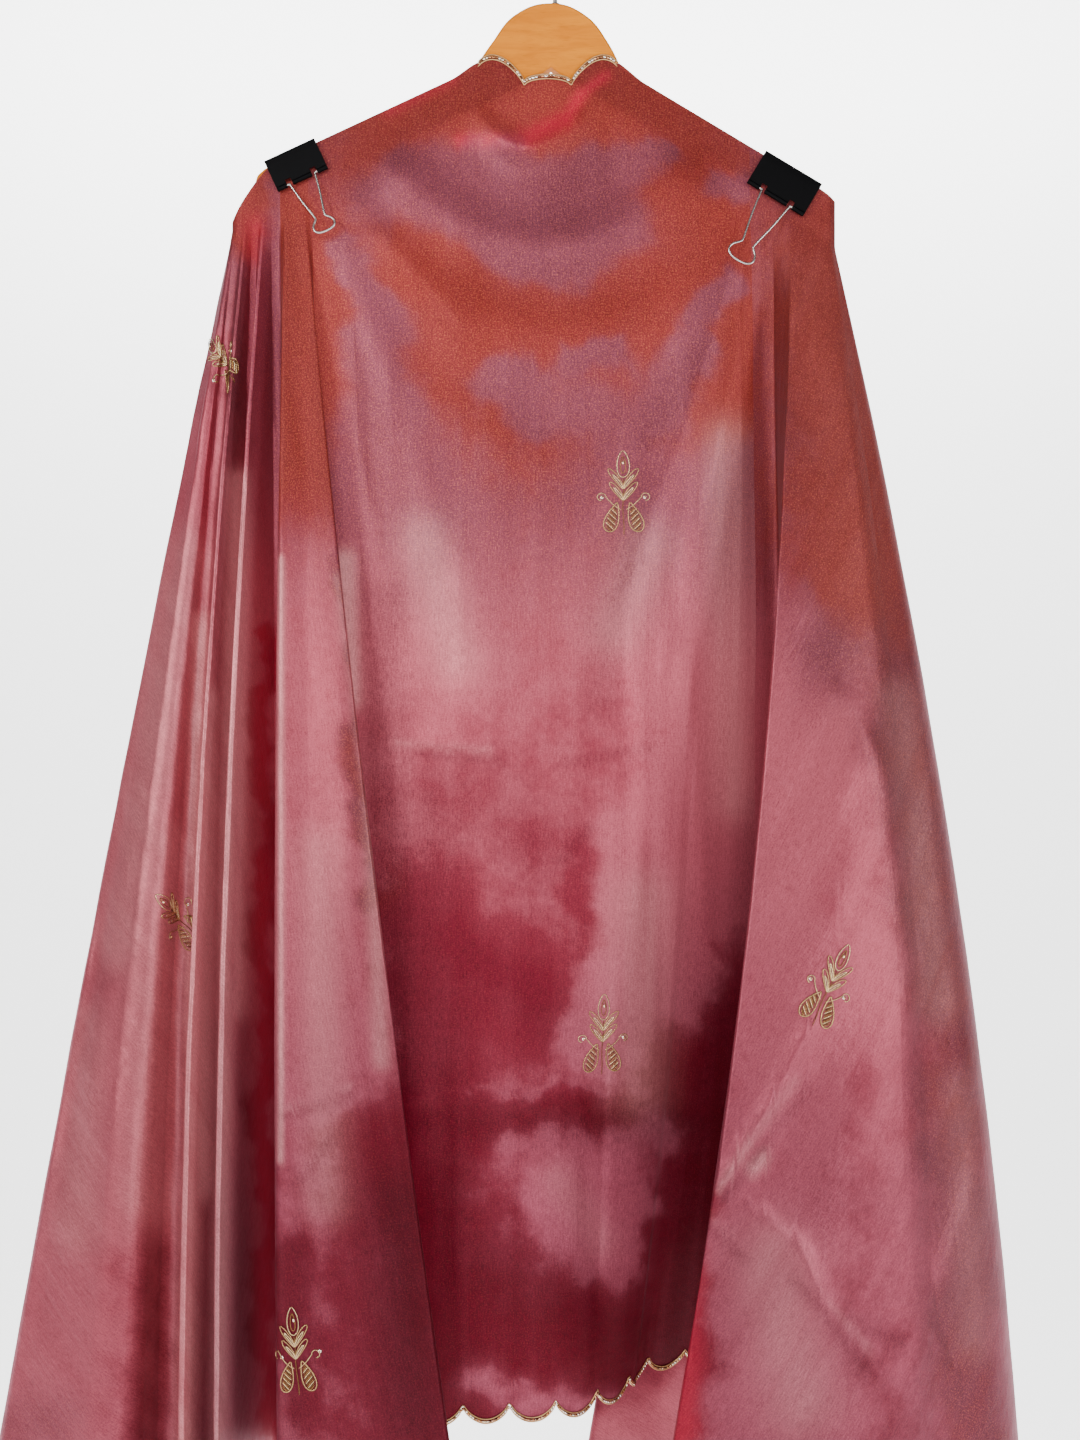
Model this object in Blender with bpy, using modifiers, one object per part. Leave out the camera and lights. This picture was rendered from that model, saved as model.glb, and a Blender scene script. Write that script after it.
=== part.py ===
# Dupatta stole hung by one long edge over a wooden hanger and held by two binder clips.
# Metres, +Z up. Origin: inside the crown of the hanger's hook. The front faces -Y.
# The cloth is a set of rulings that fan out from the hanger's arms. A short table gives each fold's place at
# the hanger, half way down and low down, and the flat cut is unrolled from there, so the hem lies where the
# cut ends.
import bpy
import bmesh
import math
from mathutils import Matrix, Vector

# ---- the cut of cloth ----
CLOTH_LENGTH = 2.44            # along the edge that is hung
CLOTH_WIDTH = 1.03             # from the hung edge to the hem
WALL = 0.0010                  # thickness of the cloth's wall
SEAM_GAP = 0.0004              # left between neighbouring pieces
EDGING_GAP = 0.0009            # left between a wall and its edging, which turns tight folds with it
EDGING_WIDTH = 0.0050          # bead-and-cord edging, across
EDGING_THICK = 0.0016          # the same, through
SCALLOP_DEPTH = 0.0100         # from cusp to crown
HEM_SCALLOPS = 68              # along CLOTH_LENGTH
SIDE_SCALLOPS = 29             # along CLOTH_WIDTH
SCALLOP_STEPS = 3              # straight runs in one scallop
SCALLOP_POWER = 0.6            # under 1 makes a scallop's crown rounder
CLEAR_STEP = 0.12              # a scallop's corner keeps this share of a run from a ruling
CLEAR_SHARE = 0.04             # and an added ruling this share of the gap between two others

# ---- the hanger ----
NECK_Z = -0.125                # level of the hung edge at the neck
NECK_LEFT = -0.058             # where the edge turns over the left arm
NECK_RIGHT = 0.047             # and over the right arm
NECK_LIFT = 0.002              # of the scallops' cusps at the arms
NECK_DIP = 0.014               # and how far the hung edge sags between them
NECK_SCALLOPS = 3
LEFT_SLOPE = 0.466             # fall of the left arm for each metre out
RIGHT_SLOPE = 0.600            # the hanger is rolled a little, so the right arm is steeper
LEFT_TIP = -0.235
RIGHT_TIP = 0.205
HANGER_THICK = 0.0130
WOOD_LIFT = 0.0002             # of the wood's edge over the cloth's fold line, inside the fold
WOOD_EASE = 0.0022             # of its softened edges
DOME_TOP = -0.075
ARM_DEPTH = 0.030              # height of an arm near the neck
TIP_DEPTH = 0.020              # and near its tip
CLOTH_STAND = HANGER_THICK / 2 + SEAM_GAP + WALL / 2
TIP_HOLLOW = 0.012             # the cloth stands this far off the wood's ends
EDGE_STAND = (EDGING_THICK - WALL) / 2   # edging that lies on the wood is moved out by this

# ---- the strip of cloth folded over each arm, beyond the neck ----
# crest as (share of CLOTH_STAND in Y, height over the arm), from the front to the rear
FLAP_CREST = [(-1.0, 0.0008), (-0.78, 0.0014), (0.0, 0.0017), (0.78, 0.0014), (1.0, 0.0004)]
FLAP_COLUMNS = 9
FLAP_ROWS = 3                  # below the crest
FLAP_BAND_LINES = 60           # lines from which its edging picks its corners
LEAST_FLAP = 0.0015            # of the strip's fall, beside the neck

# ---- levels at which the folds are given ----
MID_Z = -0.68
LOW_Z = -1.15
CLIP_REACH = 0.034             # the cloth lies flat on the arm as far down as this

# ---- folds: where each starts on the arm, and its place at MID_Z and LOW_Z ----
# start is x on the front panel, and on a wing the distance from the wing's first point along the arm's
# front, round its tip and back along its rear.
PANEL_FOLDS = [
    # name, start, mid x, mid y, low x, low y, round
    ("tuck", -0.180, -0.163, 0.012, -0.140, 0.040, 0.030),
    ("left_plain", -0.110, -0.106, 0.000, -0.095, 0.030, 0.030),
    ("middle", -0.040, -0.040, -0.006, -0.040, 0.034, 0.030),
    ("right_plain", 0.020, 0.018, -0.002, 0.012, 0.042, 0.030),
    ("right_bend", 0.080, 0.074, 0.006, 0.050, 0.066, 0.030),
    ("recess", 0.130, 0.124, 0.028, 0.081, 0.116, 0.030),
    ("hollow", 0.160, 0.182, 0.058, 0.226, 0.130, 0.040),
]
LEFT_FOLDS = [
    ("flap_edge", 0.028, -0.1376, -0.030, -0.074, -0.045, 0.022),
    ("flap_side", 0.041, -0.2034, -0.030, -0.198, -0.045, 0.030),
    ("deep_one", 0.049, -0.2130, 0.066, -0.220, 0.130, 0.060),
    ("ridge_two", 0.057, -0.2389, -0.035, -0.2434, -0.055, 0.060),
    ("deep_two", 0.063, -0.2440, 0.060, -0.250, 0.118, 0.062),
    ("ridge_three", 0.070, -0.2585, -0.036, -0.2690, -0.052, 0.060),
    ("deep_three", 0.076, -0.2700, 0.004, -0.287, 0.030, 0.050),
    ("outer", 0.083, -0.2920, -0.022, -0.325, -0.030, 0.040),
    ("outline", 0.0885, -0.3337, 0.010, -0.4241, 0.020, 0.045),
    ("rear_turn", 0.104, -0.3120, 0.058, -0.385, 0.082, 0.050),
    ("rear_ridge", 0.118, -0.2250, 0.092, -0.220, 0.164, 0.060),
    ("rear_edge", 0.132, -0.3100, 0.118, -0.385, 0.190, 0.030),
]
RIGHT_FOLDS = [
    ("wing_edge", 0.046, 0.1449, -0.060, 0.0719, -0.100, 0.022),
    ("wing_middle", 0.073, 0.2280, -0.050, 0.2200, -0.076, 0.060),
    ("outline", 0.0885, 0.2937, 0.000, 0.3480, 0.000, 0.050),
    ("rear_turn", 0.104, 0.2860, 0.076, 0.3460, 0.140, 0.050),
    ("rear_one", 0.117, 0.1100, 0.100, 0.0300, 0.174, 0.070),
    ("rear_two", 0.129, 0.2100, 0.128, 0.2500, 0.200, 0.064),
    ("rear_three", 0.141, 0.1380, 0.154, 0.1000, 0.224, 0.054),
    ("rear_edge", 0.152, 0.1960, 0.174, 0.2260, 0.244, 0.030),
]
LEFT_FIRST_X = -0.160          # where LEFT_FOLDS' start is 0
RIGHT_FIRST_X = 0.130
CORNER_SHARES = (0, 0.25, 0.75, 1)   # corners of the straight runs round one fold
CREST_SHIFT = 0.31             # moves a fold out, so that its blunted crest is where the tables say
PANEL_LEVELS = [0, 0.034, 0.054, 0.076, 0.11, 0.14, 0.17, 0.21, 0.27, 0.36, 0.55, 0.80]
WING_LEVELS = [0, 0.034, 0.054, 0.076, 0.11, 0.20, 0.34, 0.55, 0.80]
HEM_STRIP = 0.008              # between the last level and the scallops' cusps
FREE_EDGING_START = 0.23       # where the edging on the falling edges starts, below the arm
LONGEST_RUN = 0.075            # between two rulings low down
LARGEST_TRIM = 0.6             # of the first run's width, where a free edge makes room for its edging
TRIM_START = 0.14              # below the arm
TRIM_RISE = 0.06

# ---- the cloth's nodes, each with its first and last place in the joined tables ----
# places count from the left rear edge: 0 to 11 are LEFT_FOLDS reversed, then PANEL_FOLDS, then RIGHT_FOLDS.
STRETCHES = [
    ("left_back_fall", 0.0, 2.5),
    ("left_wing", 2.5, 9.5),
    ("left_flap", 9.5, 11.5),
    ("front_panel", 11.5, 17.5),
    ("right_wing", 17.5, 22.5),
    ("right_back_fall", 22.5, 26.0),
]
PANEL_PLACES = (11.5, 17.5)

# ---- swags of slack cloth under the neck ----
SWAG_FADE = 1.4                # places over which they die out at the panel's sides
SWAG_START = 0.012             # below the hung edge
SWAG_RISE = 0.05
SWAGS = [
    # name, left x, left z, low x, low z, right x, right z, bulge, half width
    ("collar", -0.060, -0.150, -0.022, -0.186, 0.038, -0.128, 0.0085, 0.011),
    ("upper", -0.130, -0.190, -0.010, -0.262, 0.120, -0.190, 0.0090, 0.022),
    ("middle", -0.150, -0.230, 0.005, -0.330, 0.140, -0.240, 0.0080, 0.026),
    ("lower", -0.150, -0.300, 0.010, -0.430, 0.135, -0.320, 0.0060, 0.030),
]

# ---- binder clips ----
CLIP_SHEET = 0.0007
SPINE_LIFT = 0.0030            # of the closed back above the arm
CURL_RADIUS = 0.0018           # rolled edges that hold the handles
CURL_BORE = 0.0012
CURL_LAP = 0.0002              # a face stands this far off the middle of its rolled edge
FACE_END = 0.0013              # a face ends this far above that middle
WIRE_RADIUS = 0.0008
LEG_SHARE = 0.245              # a handle's leg from the clip's middle, as a share of its width
SLOT_HALF = 0.0022             # gap in the rolled edge round a leg
SLOT_HEIGHT = 0.0055
PIVOT_LENGTH = 0.0060          # of a handle's end inside the rolled edge
CURL_Y = CLOTH_STAND + WALL / 2 + SEAM_GAP + 0.0001 + CURL_RADIUS
CLIPS = [
    # name, x on the arm, width, height of a face, handle length, neck width, loop width
    ("left_clip", -0.1965, 0.041, 0.0200, 0.046, 0.0080, 0.0165),
    ("right_clip", 0.1760, 0.0485, 0.0230, 0.058, 0.0100, 0.0205),
]
FRONT_LEAN = math.radians(9)   # the handles' rest, clear of the cloth
REAR_LEAN = math.radians(24)

# ---- hook ----
HOOK_WIRE = 0.0017
HOOK_INSIDE = 0.0190           # inside radius of the hook's bend
HOOK_START = math.radians(-52) # where the bend leaves the stem
HOOK_SWEEP = math.radians(252)
HOOK_STEPS = 18

FINISHES = {
    "cloth": ((0.42, 0.12, 0.13, 1), 0.35, 0.3),
    "edging": ((0.62, 0.42, 0.26, 1), 0.3, 0.8),
    "wood": ((0.72, 0.44, 0.16, 1), 0.4, 0.0),
    "steel": ((0.6, 0.6, 0.62, 1), 0.25, 1.0),
    "black": ((0.015, 0.015, 0.017, 1), 0.4, 0.2),
}


def clear_scene():
    for old in list(bpy.data.objects):
        bpy.data.objects.remove(old, do_unlink=True)


def make_material(name):
    colour, roughness, metallic = FINISHES[name]
    material = bpy.data.materials.new(name)
    material.use_nodes = True
    shader = material.node_tree.nodes["Principled BSDF"]
    shader.inputs["Base Color"].default_value = colour
    shader.inputs["Roughness"].default_value = roughness
    shader.inputs["Metallic"].default_value = metallic
    return material


def add_object(name, mesh, material, collection):
    mesh.materials.append(material)
    made = bpy.data.objects.new(name, mesh)
    collection.objects.link(made)
    return made


# ---------------------------------------------------------------- the hanger's lines
def arm_top(x):
    """Height of the hanger's upper edge, where the cloth is folded over it."""
    if x < NECK_LEFT:
        return NECK_Z + (x - NECK_LEFT) * LEFT_SLOPE
    if x > NECK_RIGHT:
        return NECK_Z - (x - NECK_RIGHT) * RIGHT_SLOPE
    return NECK_Z


def shoulder_point(side, start):
    """A point on the cloth's middle, start metres along an arm, round its tip and back."""
    first, tip = (LEFT_FIRST_X, LEFT_TIP) if side < 0 else (RIGHT_FIRST_X, RIGHT_TIP)
    run = abs(tip - first)
    turn = math.pi * CLOTH_STAND
    if start <= run:
        x, y = first + side * start, -CLOTH_STAND
    elif start <= run + turn:
        angle = (start - run) / CLOTH_STAND
        x = tip + side * CLOTH_STAND * math.sin(angle)
        y = -CLOTH_STAND * math.cos(angle)
    else:
        x, y = tip - side * (start - run - turn), CLOTH_STAND
    return Vector((x, y, arm_top(x)))


# ---------------------------------------------------------------- rulings
class Ruling:
    """One line of the drape, from the arm down through the two given levels."""

    def __init__(self, top, mid, low):
        self.top, self.mid, self.low = top, mid, low
        self.flat = None           # where it starts in the flat cut
        self.heading = None        # its direction there
        self.length = None         # from its start to the cut's edge

    def at(self, distance):
        """The point that lies distance metres from the start, measured in the cloth."""
        full = self.top.z - LOW_Z
        drop = distance * full / (self.low - self.top).length
        kept = CLIP_REACH
        share = max(0.0, drop - kept) / (full - kept)
        middle = (self.top.z - kept - MID_Z) / (full - kept)
        bow_x = bend(self.top.x, self.mid.x, self.low.x, middle)
        bow_y = bend(self.top.y, self.mid.y, self.low.y, middle)
        x = along(self.top.x, self.low.x, bow_x, share)
        y = along(self.top.y, self.low.y, bow_y, share)
        return Vector((x, y, self.top.z - drop))


def bend(first, mid, last, middle):
    """The curve's bow, so that it passes through mid at the share middle."""
    straight = first + (last - first) * middle
    return (mid - straight) / (middle * (1 - middle))


def along(first, last, bow, share):
    """A parabola with the given bow up to its end, and its tangent beyond."""
    if share <= 1:
        return first + (last - first) * share + bow * share * (1 - share)
    return last + (last - first - bow) * (share - 1)


def blend_rulings(one, other, share):
    mixed = Ruling(
        one.top.lerp(other.top, share), one.mid.lerp(other.mid, share), one.low.lerp(other.low, share)
    )
    if one.flat is not None:
        mixed.flat = one.flat.lerp(other.flat, share)
        mixed.heading = one.heading.lerp(other.heading, share).normalized()
        mixed.length = one.length + (other.length - one.length) * share
    return mixed


def table_ruling(side, row):
    name, start, mid_x, mid_y, low_x, low_y, _ = row
    if side == 0:
        top = Vector((start, -CLOTH_STAND, arm_top(start)))
    else:
        top = shoulder_point(side, start)
    return Ruling(top, Vector((mid_x, mid_y, MID_Z)), Vector((low_x, low_y, LOW_Z)))


def rounded(rulings, rounds):
    """Rulings round each fold and between the folds; the fold's own line is kept at its crest."""
    count = len(rulings)
    lengths = [(rulings[k + 1].low - rulings[k].low).length for k in range(count - 1)]
    result = [(rulings[0], 0.0)]
    for k in range(1, count - 1):
        before = min(0.45, rounds[k] / lengths[k - 1])
        after = min(0.45, rounds[k] / lengths[k])
        sharp = sharpened(rulings[k - 1], rulings[k], rulings[k + 1], before, after)
        enter = blend_rulings(sharp, rulings[k - 1], before)
        leave = blend_rulings(sharp, rulings[k + 1], after)
        for t in CORNER_SHARES:
            one = blend_rulings(enter, sharp, t)
            two = blend_rulings(sharp, leave, t)
            place = k - before * (1 - t) + after * t
            result.append((blend_rulings(one, two, t), place))
    result.append((rulings[-1], count - 1.0))
    return split_long(result)


def sharpened(before, fold, after, share_before, share_after):
    """The fold's line moved out, so that its rounded crest passes through the given line."""
    moved = Ruling(fold.top.copy(), fold.mid.copy(), fold.low.copy())
    for part in ("mid", "low"):
        here = getattr(fold, part)
        back = getattr(before, part) - here
        front = getattr(after, part) - here
        getattr(moved, part)[:] = here - CREST_SHIFT * (back * share_before + front * share_after)
    return moved


def split_long(rows):
    """Extra rulings where two neighbours are far apart low down."""
    result = [rows[0]]
    for (one, place_one), (two, place_two) in zip(rows, rows[1:]):
        pieces = max(1, round((two.low - one.low).length / LONGEST_RUN))
        for k in range(1, pieces):
            share = k / pieces
            result.append((blend_rulings(one, two, share), place_one + (place_two - place_one) * share))
        result.append((two, place_two))
    return result


def unroll(rulings, start):
    """Lays the rulings flat one after another, from the one at index start outwards both ways."""
    first = rulings[start]
    first.flat = Vector((first.top.x, NECK_Z - first.top.z))
    first.heading = Vector((0, 1))
    for step in (1, -1):
        k = start
        while 0 <= k + step < len(rulings):
            lay_next(rulings[k], rulings[k + step], step)
            k += step
    for ruling in rulings:
        ruling.length = cut_length(ruling)


def lay_next(known, following, side):
    """Places the next ruling in the flat by two triangles, side +1 towards +u."""
    reach = (known.low - known.top).length
    end = known.flat + known.heading * reach
    from_top = (following.top - known.top).length
    from_low = (following.top - known.low).length
    top = third_corner(known.flat, end, from_top, from_low, side)
    from_top = (following.low - following.top).length
    from_low = (following.low - known.low).length
    low = third_corner(top, end, from_top, from_low, side)
    following.flat = top
    following.heading = (low - top).normalized()


def third_corner(one, two, from_one, from_two, side):
    base = (two - one).length
    along_base = (from_one ** 2 - from_two ** 2 + base ** 2) / (2 * base)
    height = math.sqrt(max(0.0, from_one ** 2 - along_base ** 2))
    direction = (two - one) / base
    across = Vector((direction.y, -direction.x)) * side
    return one + direction * along_base + across * height


def cut_length(ruling):
    """How far the ruling runs in the flat before it meets the cut's edge."""
    reach = 10.0
    u, v = ruling.flat
    du, dv = ruling.heading
    if dv > 1e-6:
        reach = min(reach, (CLOTH_WIDTH - v) / dv)
    if abs(du) > 1e-6:
        reach = min(reach, (math.copysign(CLOTH_LENGTH / 2, du) - u) / du)
    return reach


def edge_mark(ruling):
    """Distance round the cut's edge, from the middle of the hem outwards."""
    end = ruling.flat + ruling.heading * ruling.length
    if CLOTH_WIDTH - end.y < CLOTH_LENGTH / 2 - abs(end.x):
        return end.x
    return math.copysign(CLOTH_LENGTH / 2 + CLOTH_WIDTH - end.y, end.x)


def add_corner(columns):
    """A ruling at each lower corner of the cut."""
    result = [columns[0]]
    for (one, place_one), (two, place_two) in zip(columns, columns[1:]):
        mark_one, mark_two = edge_mark(one), edge_mark(two)
        for corner in (-CLOTH_LENGTH / 2, CLOTH_LENGTH / 2):
            if mark_one < corner - 1e-4 < corner + 1e-4 < mark_two:
                share = (corner - mark_one) / (mark_two - mark_one)
                extra = blend_rulings(one, two, share)
                extra.length = cut_length(extra)
                result.append((extra, place_one + (place_two - place_one) * share))
        result.append((two, place_two))
    return result


# ---------------------------------------------------------------- the drape as a whole
def drape():
    """All the cloth's rulings from the left rear edge to the right one, with their places in the tables."""
    rows = [(-1, row) for row in reversed(LEFT_FOLDS)]
    rows += [(0, row) for row in PANEL_FOLDS]
    rows += [(1, row) for row in RIGHT_FOLDS]
    rulings = [table_ruling(side, row) for side, row in rows]
    columns = rounded(rulings, [row[-1] for _, row in rows])
    columns = add_neck_columns(columns)
    middle = len(LEFT_FOLDS) + 2
    nearest = min(range(len(columns)), key=lambda k: abs(columns[k][1] - middle))
    unroll([ruling for ruling, _ in columns], nearest)
    return add_corner(columns)


def neck_marks():
    """x of each corner of the neck's scallops."""
    steps = NECK_SCALLOPS * SCALLOP_STEPS
    return [NECK_LEFT + (NECK_RIGHT - NECK_LEFT) * k / steps for k in range(steps + 1)]


def add_neck_columns(columns):
    """A ruling of the front panel at each corner of the neck's scallops."""
    result = [columns[0]]
    marks = neck_marks()
    for (one, place_one), (two, place_two) in zip(columns, columns[1:]):
        on_panel = PANEL_PLACES[0] < place_one and place_two < PANEL_PLACES[1]
        if on_panel:
            width = two.top.x - one.top.x
            for mark in marks:
                share = (mark - one.top.x) / width
                if CLEAR_SHARE < share < 1 - CLEAR_SHARE:
                    extra = blend_rulings(one, two, share)
                    result.append((extra, place_one + (place_two - place_one) * share))
        result.append((two, place_two))
    return result


def stretch(columns, first, last):
    """The rulings between two places of the tables, with one at each end."""
    result = []
    for (one, place_one), (two, place_two) in zip(columns, columns[1:]):
        span = place_two - place_one
        for place in (first, last):
            if place_one <= place < place_two and 0 < place < columns[-1][1]:
                result.append((blend_rulings(one, two, (place - place_one) / span), place))
        if first < place_two < last:
            result.append((two, place_two))
    if first <= 0:
        result.insert(0, columns[0])
    if last >= columns[-1][1]:
        result.append(columns[-1])
    result.sort(key=lambda pair: pair[1])
    return result


# ---------------------------------------------------------------- scallops
def scallop(share):
    """Height of a scallop, 0 at its cusps and 1 at its crown, share being counted in scallops."""
    return abs(math.sin(math.pi * share)) ** SCALLOP_POWER


def edge_scallops(mark):
    """How many scallops lie between the middle of the hem and a mark on the cut's edge."""
    half = CLOTH_LENGTH / 2
    if abs(mark) <= half:
        return mark / (CLOTH_LENGTH / HEM_SCALLOPS)
    beyond = abs(mark) - half
    return math.copysign(HEM_SCALLOPS / 2 + beyond / (CLOTH_WIDTH / SIDE_SCALLOPS), mark)


def edge_samples(mark_one, mark_two):
    """Shares between two rulings at which the scalloped edge has a corner."""
    one = edge_scallops(mark_one) * SCALLOP_STEPS
    two = edge_scallops(mark_two) * SCALLOP_STEPS
    shares = []
    for k in range(math.ceil(one + CLEAR_STEP), math.floor(two - CLEAR_STEP) + 1):
        shares.append((k - one) / (two - one))
    return shares


def edge_inset(mark):
    return SCALLOP_DEPTH * (1 - scallop(edge_scallops(mark)))


def hem_stations(columns):
    """Each corner of the lower edge as (cell, share, mark)."""
    stations = [(0, 0.0, edge_mark(columns[0][0]))]
    for k in range(len(columns) - 1):
        mark_one, mark_two = edge_mark(columns[k][0]), edge_mark(columns[k + 1][0])
        for share in edge_samples(mark_one, mark_two):
            stations.append((k, share, mark_one + (mark_two - mark_one) * share))
        stations.append((k, 1.0, mark_two))
    return stations


def hem_point(columns, station, inset):
    """A point of the drape, inset metres inside the cut's edge."""
    k, share, _ = station
    one, two = columns[k][0], columns[k + 1][0]
    return one.at(one.length - inset).lerp(two.at(two.length - inset), share)


# ---------------------------------------------------------------- swags
def smooth(value):
    value = min(1.0, max(0.0, value))
    return value * value * (3 - 2 * value)


def swag_bulge(x, z):
    total = 0.0
    for _, left_x, left_z, low_x, low_z, right_x, right_z, bulge, half in SWAGS:
        end_x, end_z = (left_x, left_z) if x < low_x else (right_x, right_z)
        share = (x - low_x) / (end_x - low_x)
        line = low_z + (end_z - low_z) * share * share
        slope = 2 * (end_z - low_z) * share / (end_x - low_x)
        distance = (z - line) / math.sqrt(1 + slope * slope)
        total += bulge * math.exp(-((distance / half) ** 2)) * smooth((1.25 - share) / 0.4)
    return total


def panel_point(ruling, place, distance):
    """A point of the front panel with its swags."""
    point = ruling.at(distance)
    first, last = PANEL_PLACES
    fade = smooth((place - first) / SWAG_FADE) * smooth((last - place) / SWAG_FADE)
    fade *= smooth((distance - SWAG_START) / SWAG_RISE)
    point.y -= swag_bulge(point.x, point.z) * fade
    return point


def neck_start(ruling):
    """Distance along a ruling at which the neck's edging has its outer side."""
    x = ruling.top.x
    if not NECK_LEFT < x < NECK_RIGHT:
        return None
    share = (x - NECK_LEFT) / (NECK_RIGHT - NECK_LEFT)
    cusps = NECK_Z + NECK_LIFT - NECK_DIP * math.sin(math.pi * share)
    outer = cusps + SCALLOP_DEPTH * scallop(NECK_SCALLOPS * share)
    return ruling.top.z - outer


# ---------------------------------------------------------------- walls
def row_distances(ruling, levels, start):
    """Distances of a wall's rows: fixed near the arm, and spread over the ruling's length lower down."""
    reach = ruling.length - SCALLOP_DEPTH - EDGING_WIDTH - HEM_STRIP
    extra = (reach - levels[-1] - start) / levels[-1]
    return [start + level * (1 + extra * (level / levels[-1]) ** 2) for level in levels]


def wall_mesh(name, columns, levels, point_of, free_first, free_last):
    """An open sheet over a stretch of rulings, with a scalloped lower edge."""
    shape = bmesh.new()
    grid = []
    for index, (ruling, place) in enumerate(columns):
        start = neck_start(ruling)
        on_panel = point_of is panel_point
        start = start + EDGING_WIDTH + EDGING_GAP if start is not None and on_panel else 0.0
        rows = row_distances(ruling, levels, start)
        points = [point_of(ruling, place, row) for row in rows]
        if on_panel and index in (0, 1, len(columns) - 2, len(columns) - 1):
            points = beside_wing(ruling, rows)
        grid.append([shape.verts.new(point) for point in points])
    for k in range(len(columns) - 1):
        for row in range(len(levels) - 2):
            corners = (grid[k][row], grid[k][row + 1], grid[k + 1][row + 1], grid[k + 1][row])
            shape.faces.new(corners)
    add_hem(shape, columns, grid, free_first, free_last)
    trim_side(grid[0], grid[1], free_first)
    trim_side(grid[-1], grid[-2], free_last)
    bmesh.ops.triangulate(shape, faces=shape.faces[:])
    mesh = bpy.data.meshes.new(name)
    shape.to_mesh(mesh)
    shape.free()
    return mesh


def row_share(wing_rows, row):
    """Which run between a wing's rows a distance falls in, and how far along that run."""
    k = max(i for i in range(len(wing_rows) - 1) if wing_rows[i] <= row + 1e-9)
    return k, (row - wing_rows[k]) / (wing_rows[k + 1] - wing_rows[k])


def beside_wing(ruling, rows):
    """The panel's side, kept on the straight runs between the rows of the wing next to it."""
    wing_rows = row_distances(ruling, WING_LEVELS, 0.0)
    points = []
    for row in rows:
        k, share = row_share(wing_rows, row)
        points.append(ruling.at(wing_rows[k]).lerp(ruling.at(wing_rows[k + 1]), share))
    return points


def trim_side(edge, inner, free):
    """Moves a side's corners in, by half a seam or, on a free edge, by the edging's width."""
    distance = 0.0
    before = edge[0].co.copy()
    moved = []
    for vert, inward in zip(edge, inner):
        distance += (vert.co - before).length
        before = vert.co.copy()
        inset = free_inset(distance) if free else SEAM_GAP / 2
        width = (inward.co - vert.co).length
        moved.append(vert.co.lerp(inward.co, min(LARGEST_TRIM, inset / width)))
    for vert, place in zip(edge, moved):
        vert.co = place


def free_inset(distance):
    """The edging starts a little below the arm, where the cloth has opened out."""
    return (EDGING_WIDTH + EDGING_GAP) * smooth((distance - TRIM_START) / TRIM_RISE)


def near_free_side(columns, station, free_first, free_last):
    """Whether a corner of the hem is where a free edge has its own edging."""
    k, share, mark = station
    kept = 2 * (EDGING_WIDTH + EDGING_GAP)
    if share in (0.0, 1.0):
        return False
    if free_first and mark - edge_mark(columns[0][0]) < kept:
        return True
    return free_last and edge_mark(columns[-1][0]) - mark < kept


def add_hem(shape, columns, grid, free_first, free_last):
    """The last row gets a corner over each of the hem's corners, with many-sided faces above it."""
    ends = {}
    between = {}
    for station in hem_stations(columns):
        k, share, mark = station
        if near_free_side(columns, station, free_first, free_last):
            continue
        low = shape.verts.new(hem_point(columns, station, edge_inset(mark) + EDGING_WIDTH + EDGING_GAP))
        if share in (0.0, 1.0):
            ends[k + int(share)] = low
        else:
            high = shape.verts.new(hem_point(columns, station, SCALLOP_DEPTH + EDGING_WIDTH + HEM_STRIP))
            between.setdefault(k, []).append((high, low))
    for k in range(len(columns) - 1):
        line = [(grid[k][-1], ends[k]), *between.get(k, []), (grid[k + 1][-1], ends[k + 1])]
        shape.faces.new([grid[k][-2], *[high for high, _ in line], grid[k + 1][-2]])
        for one, two in zip(line, line[1:]):
            shape.faces.new((one[0], one[1], two[1], two[0]))
    last = len(columns) - 1
    first_beside = between[0][0][1] if between.get(0) else ends[1]
    last_beside = between[last - 1][-1][1] if between.get(last - 1) else ends[last - 1]
    for k, low in ((0, ends[0]), (1, first_beside), (last - 1, last_beside), (last, ends[last])):
        grid[k].append(low)


def thicken(made, thickness):
    """Wall of even thickness about the sheet."""
    solid = made.modifiers.new("wall", "SOLIDIFY")
    solid.thickness = thickness
    solid.offset = 0
    solid.use_quality_normals = True


# ---------------------------------------------------------------- edging
def band_mesh(name, stations):
    """A flat cord along (inner, outer, normal) stations, closed at both ends."""
    shape = bmesh.new()
    rings = []
    for inner, outer, normal in stations:
        out = normal * (EDGING_THICK / 2)
        rings.append([shape.verts.new(p) for p in (inner + out, outer + out, outer - out, inner - out)])
    for one, two in zip(rings, rings[1:]):
        for k in range(4):
            shape.faces.new((one[k], one[(k + 1) % 4], two[(k + 1) % 4], two[k]))
    shape.faces.new(rings[0][::-1])
    shape.faces.new(rings[-1])
    bmesh.ops.recalc_face_normals(shape, faces=shape.faces[:])
    bmesh.ops.triangulate(shape, faces=shape.faces[:])
    mesh = bpy.data.meshes.new(name)
    shape.to_mesh(mesh)
    shape.free()
    return mesh


def band_normals(pairs):
    """Stations with the cloth's normal, from neighbouring pairs of inner and outer points."""
    stations = []
    for k, (inner, outer) in enumerate(pairs):
        before = pairs[max(0, k - 1)][0]
        after = pairs[min(len(pairs) - 1, k + 1)][0]
        normal = (after - before).cross(outer - inner).normalized()
        stations.append((inner, outer, normal))
    return stations


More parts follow.
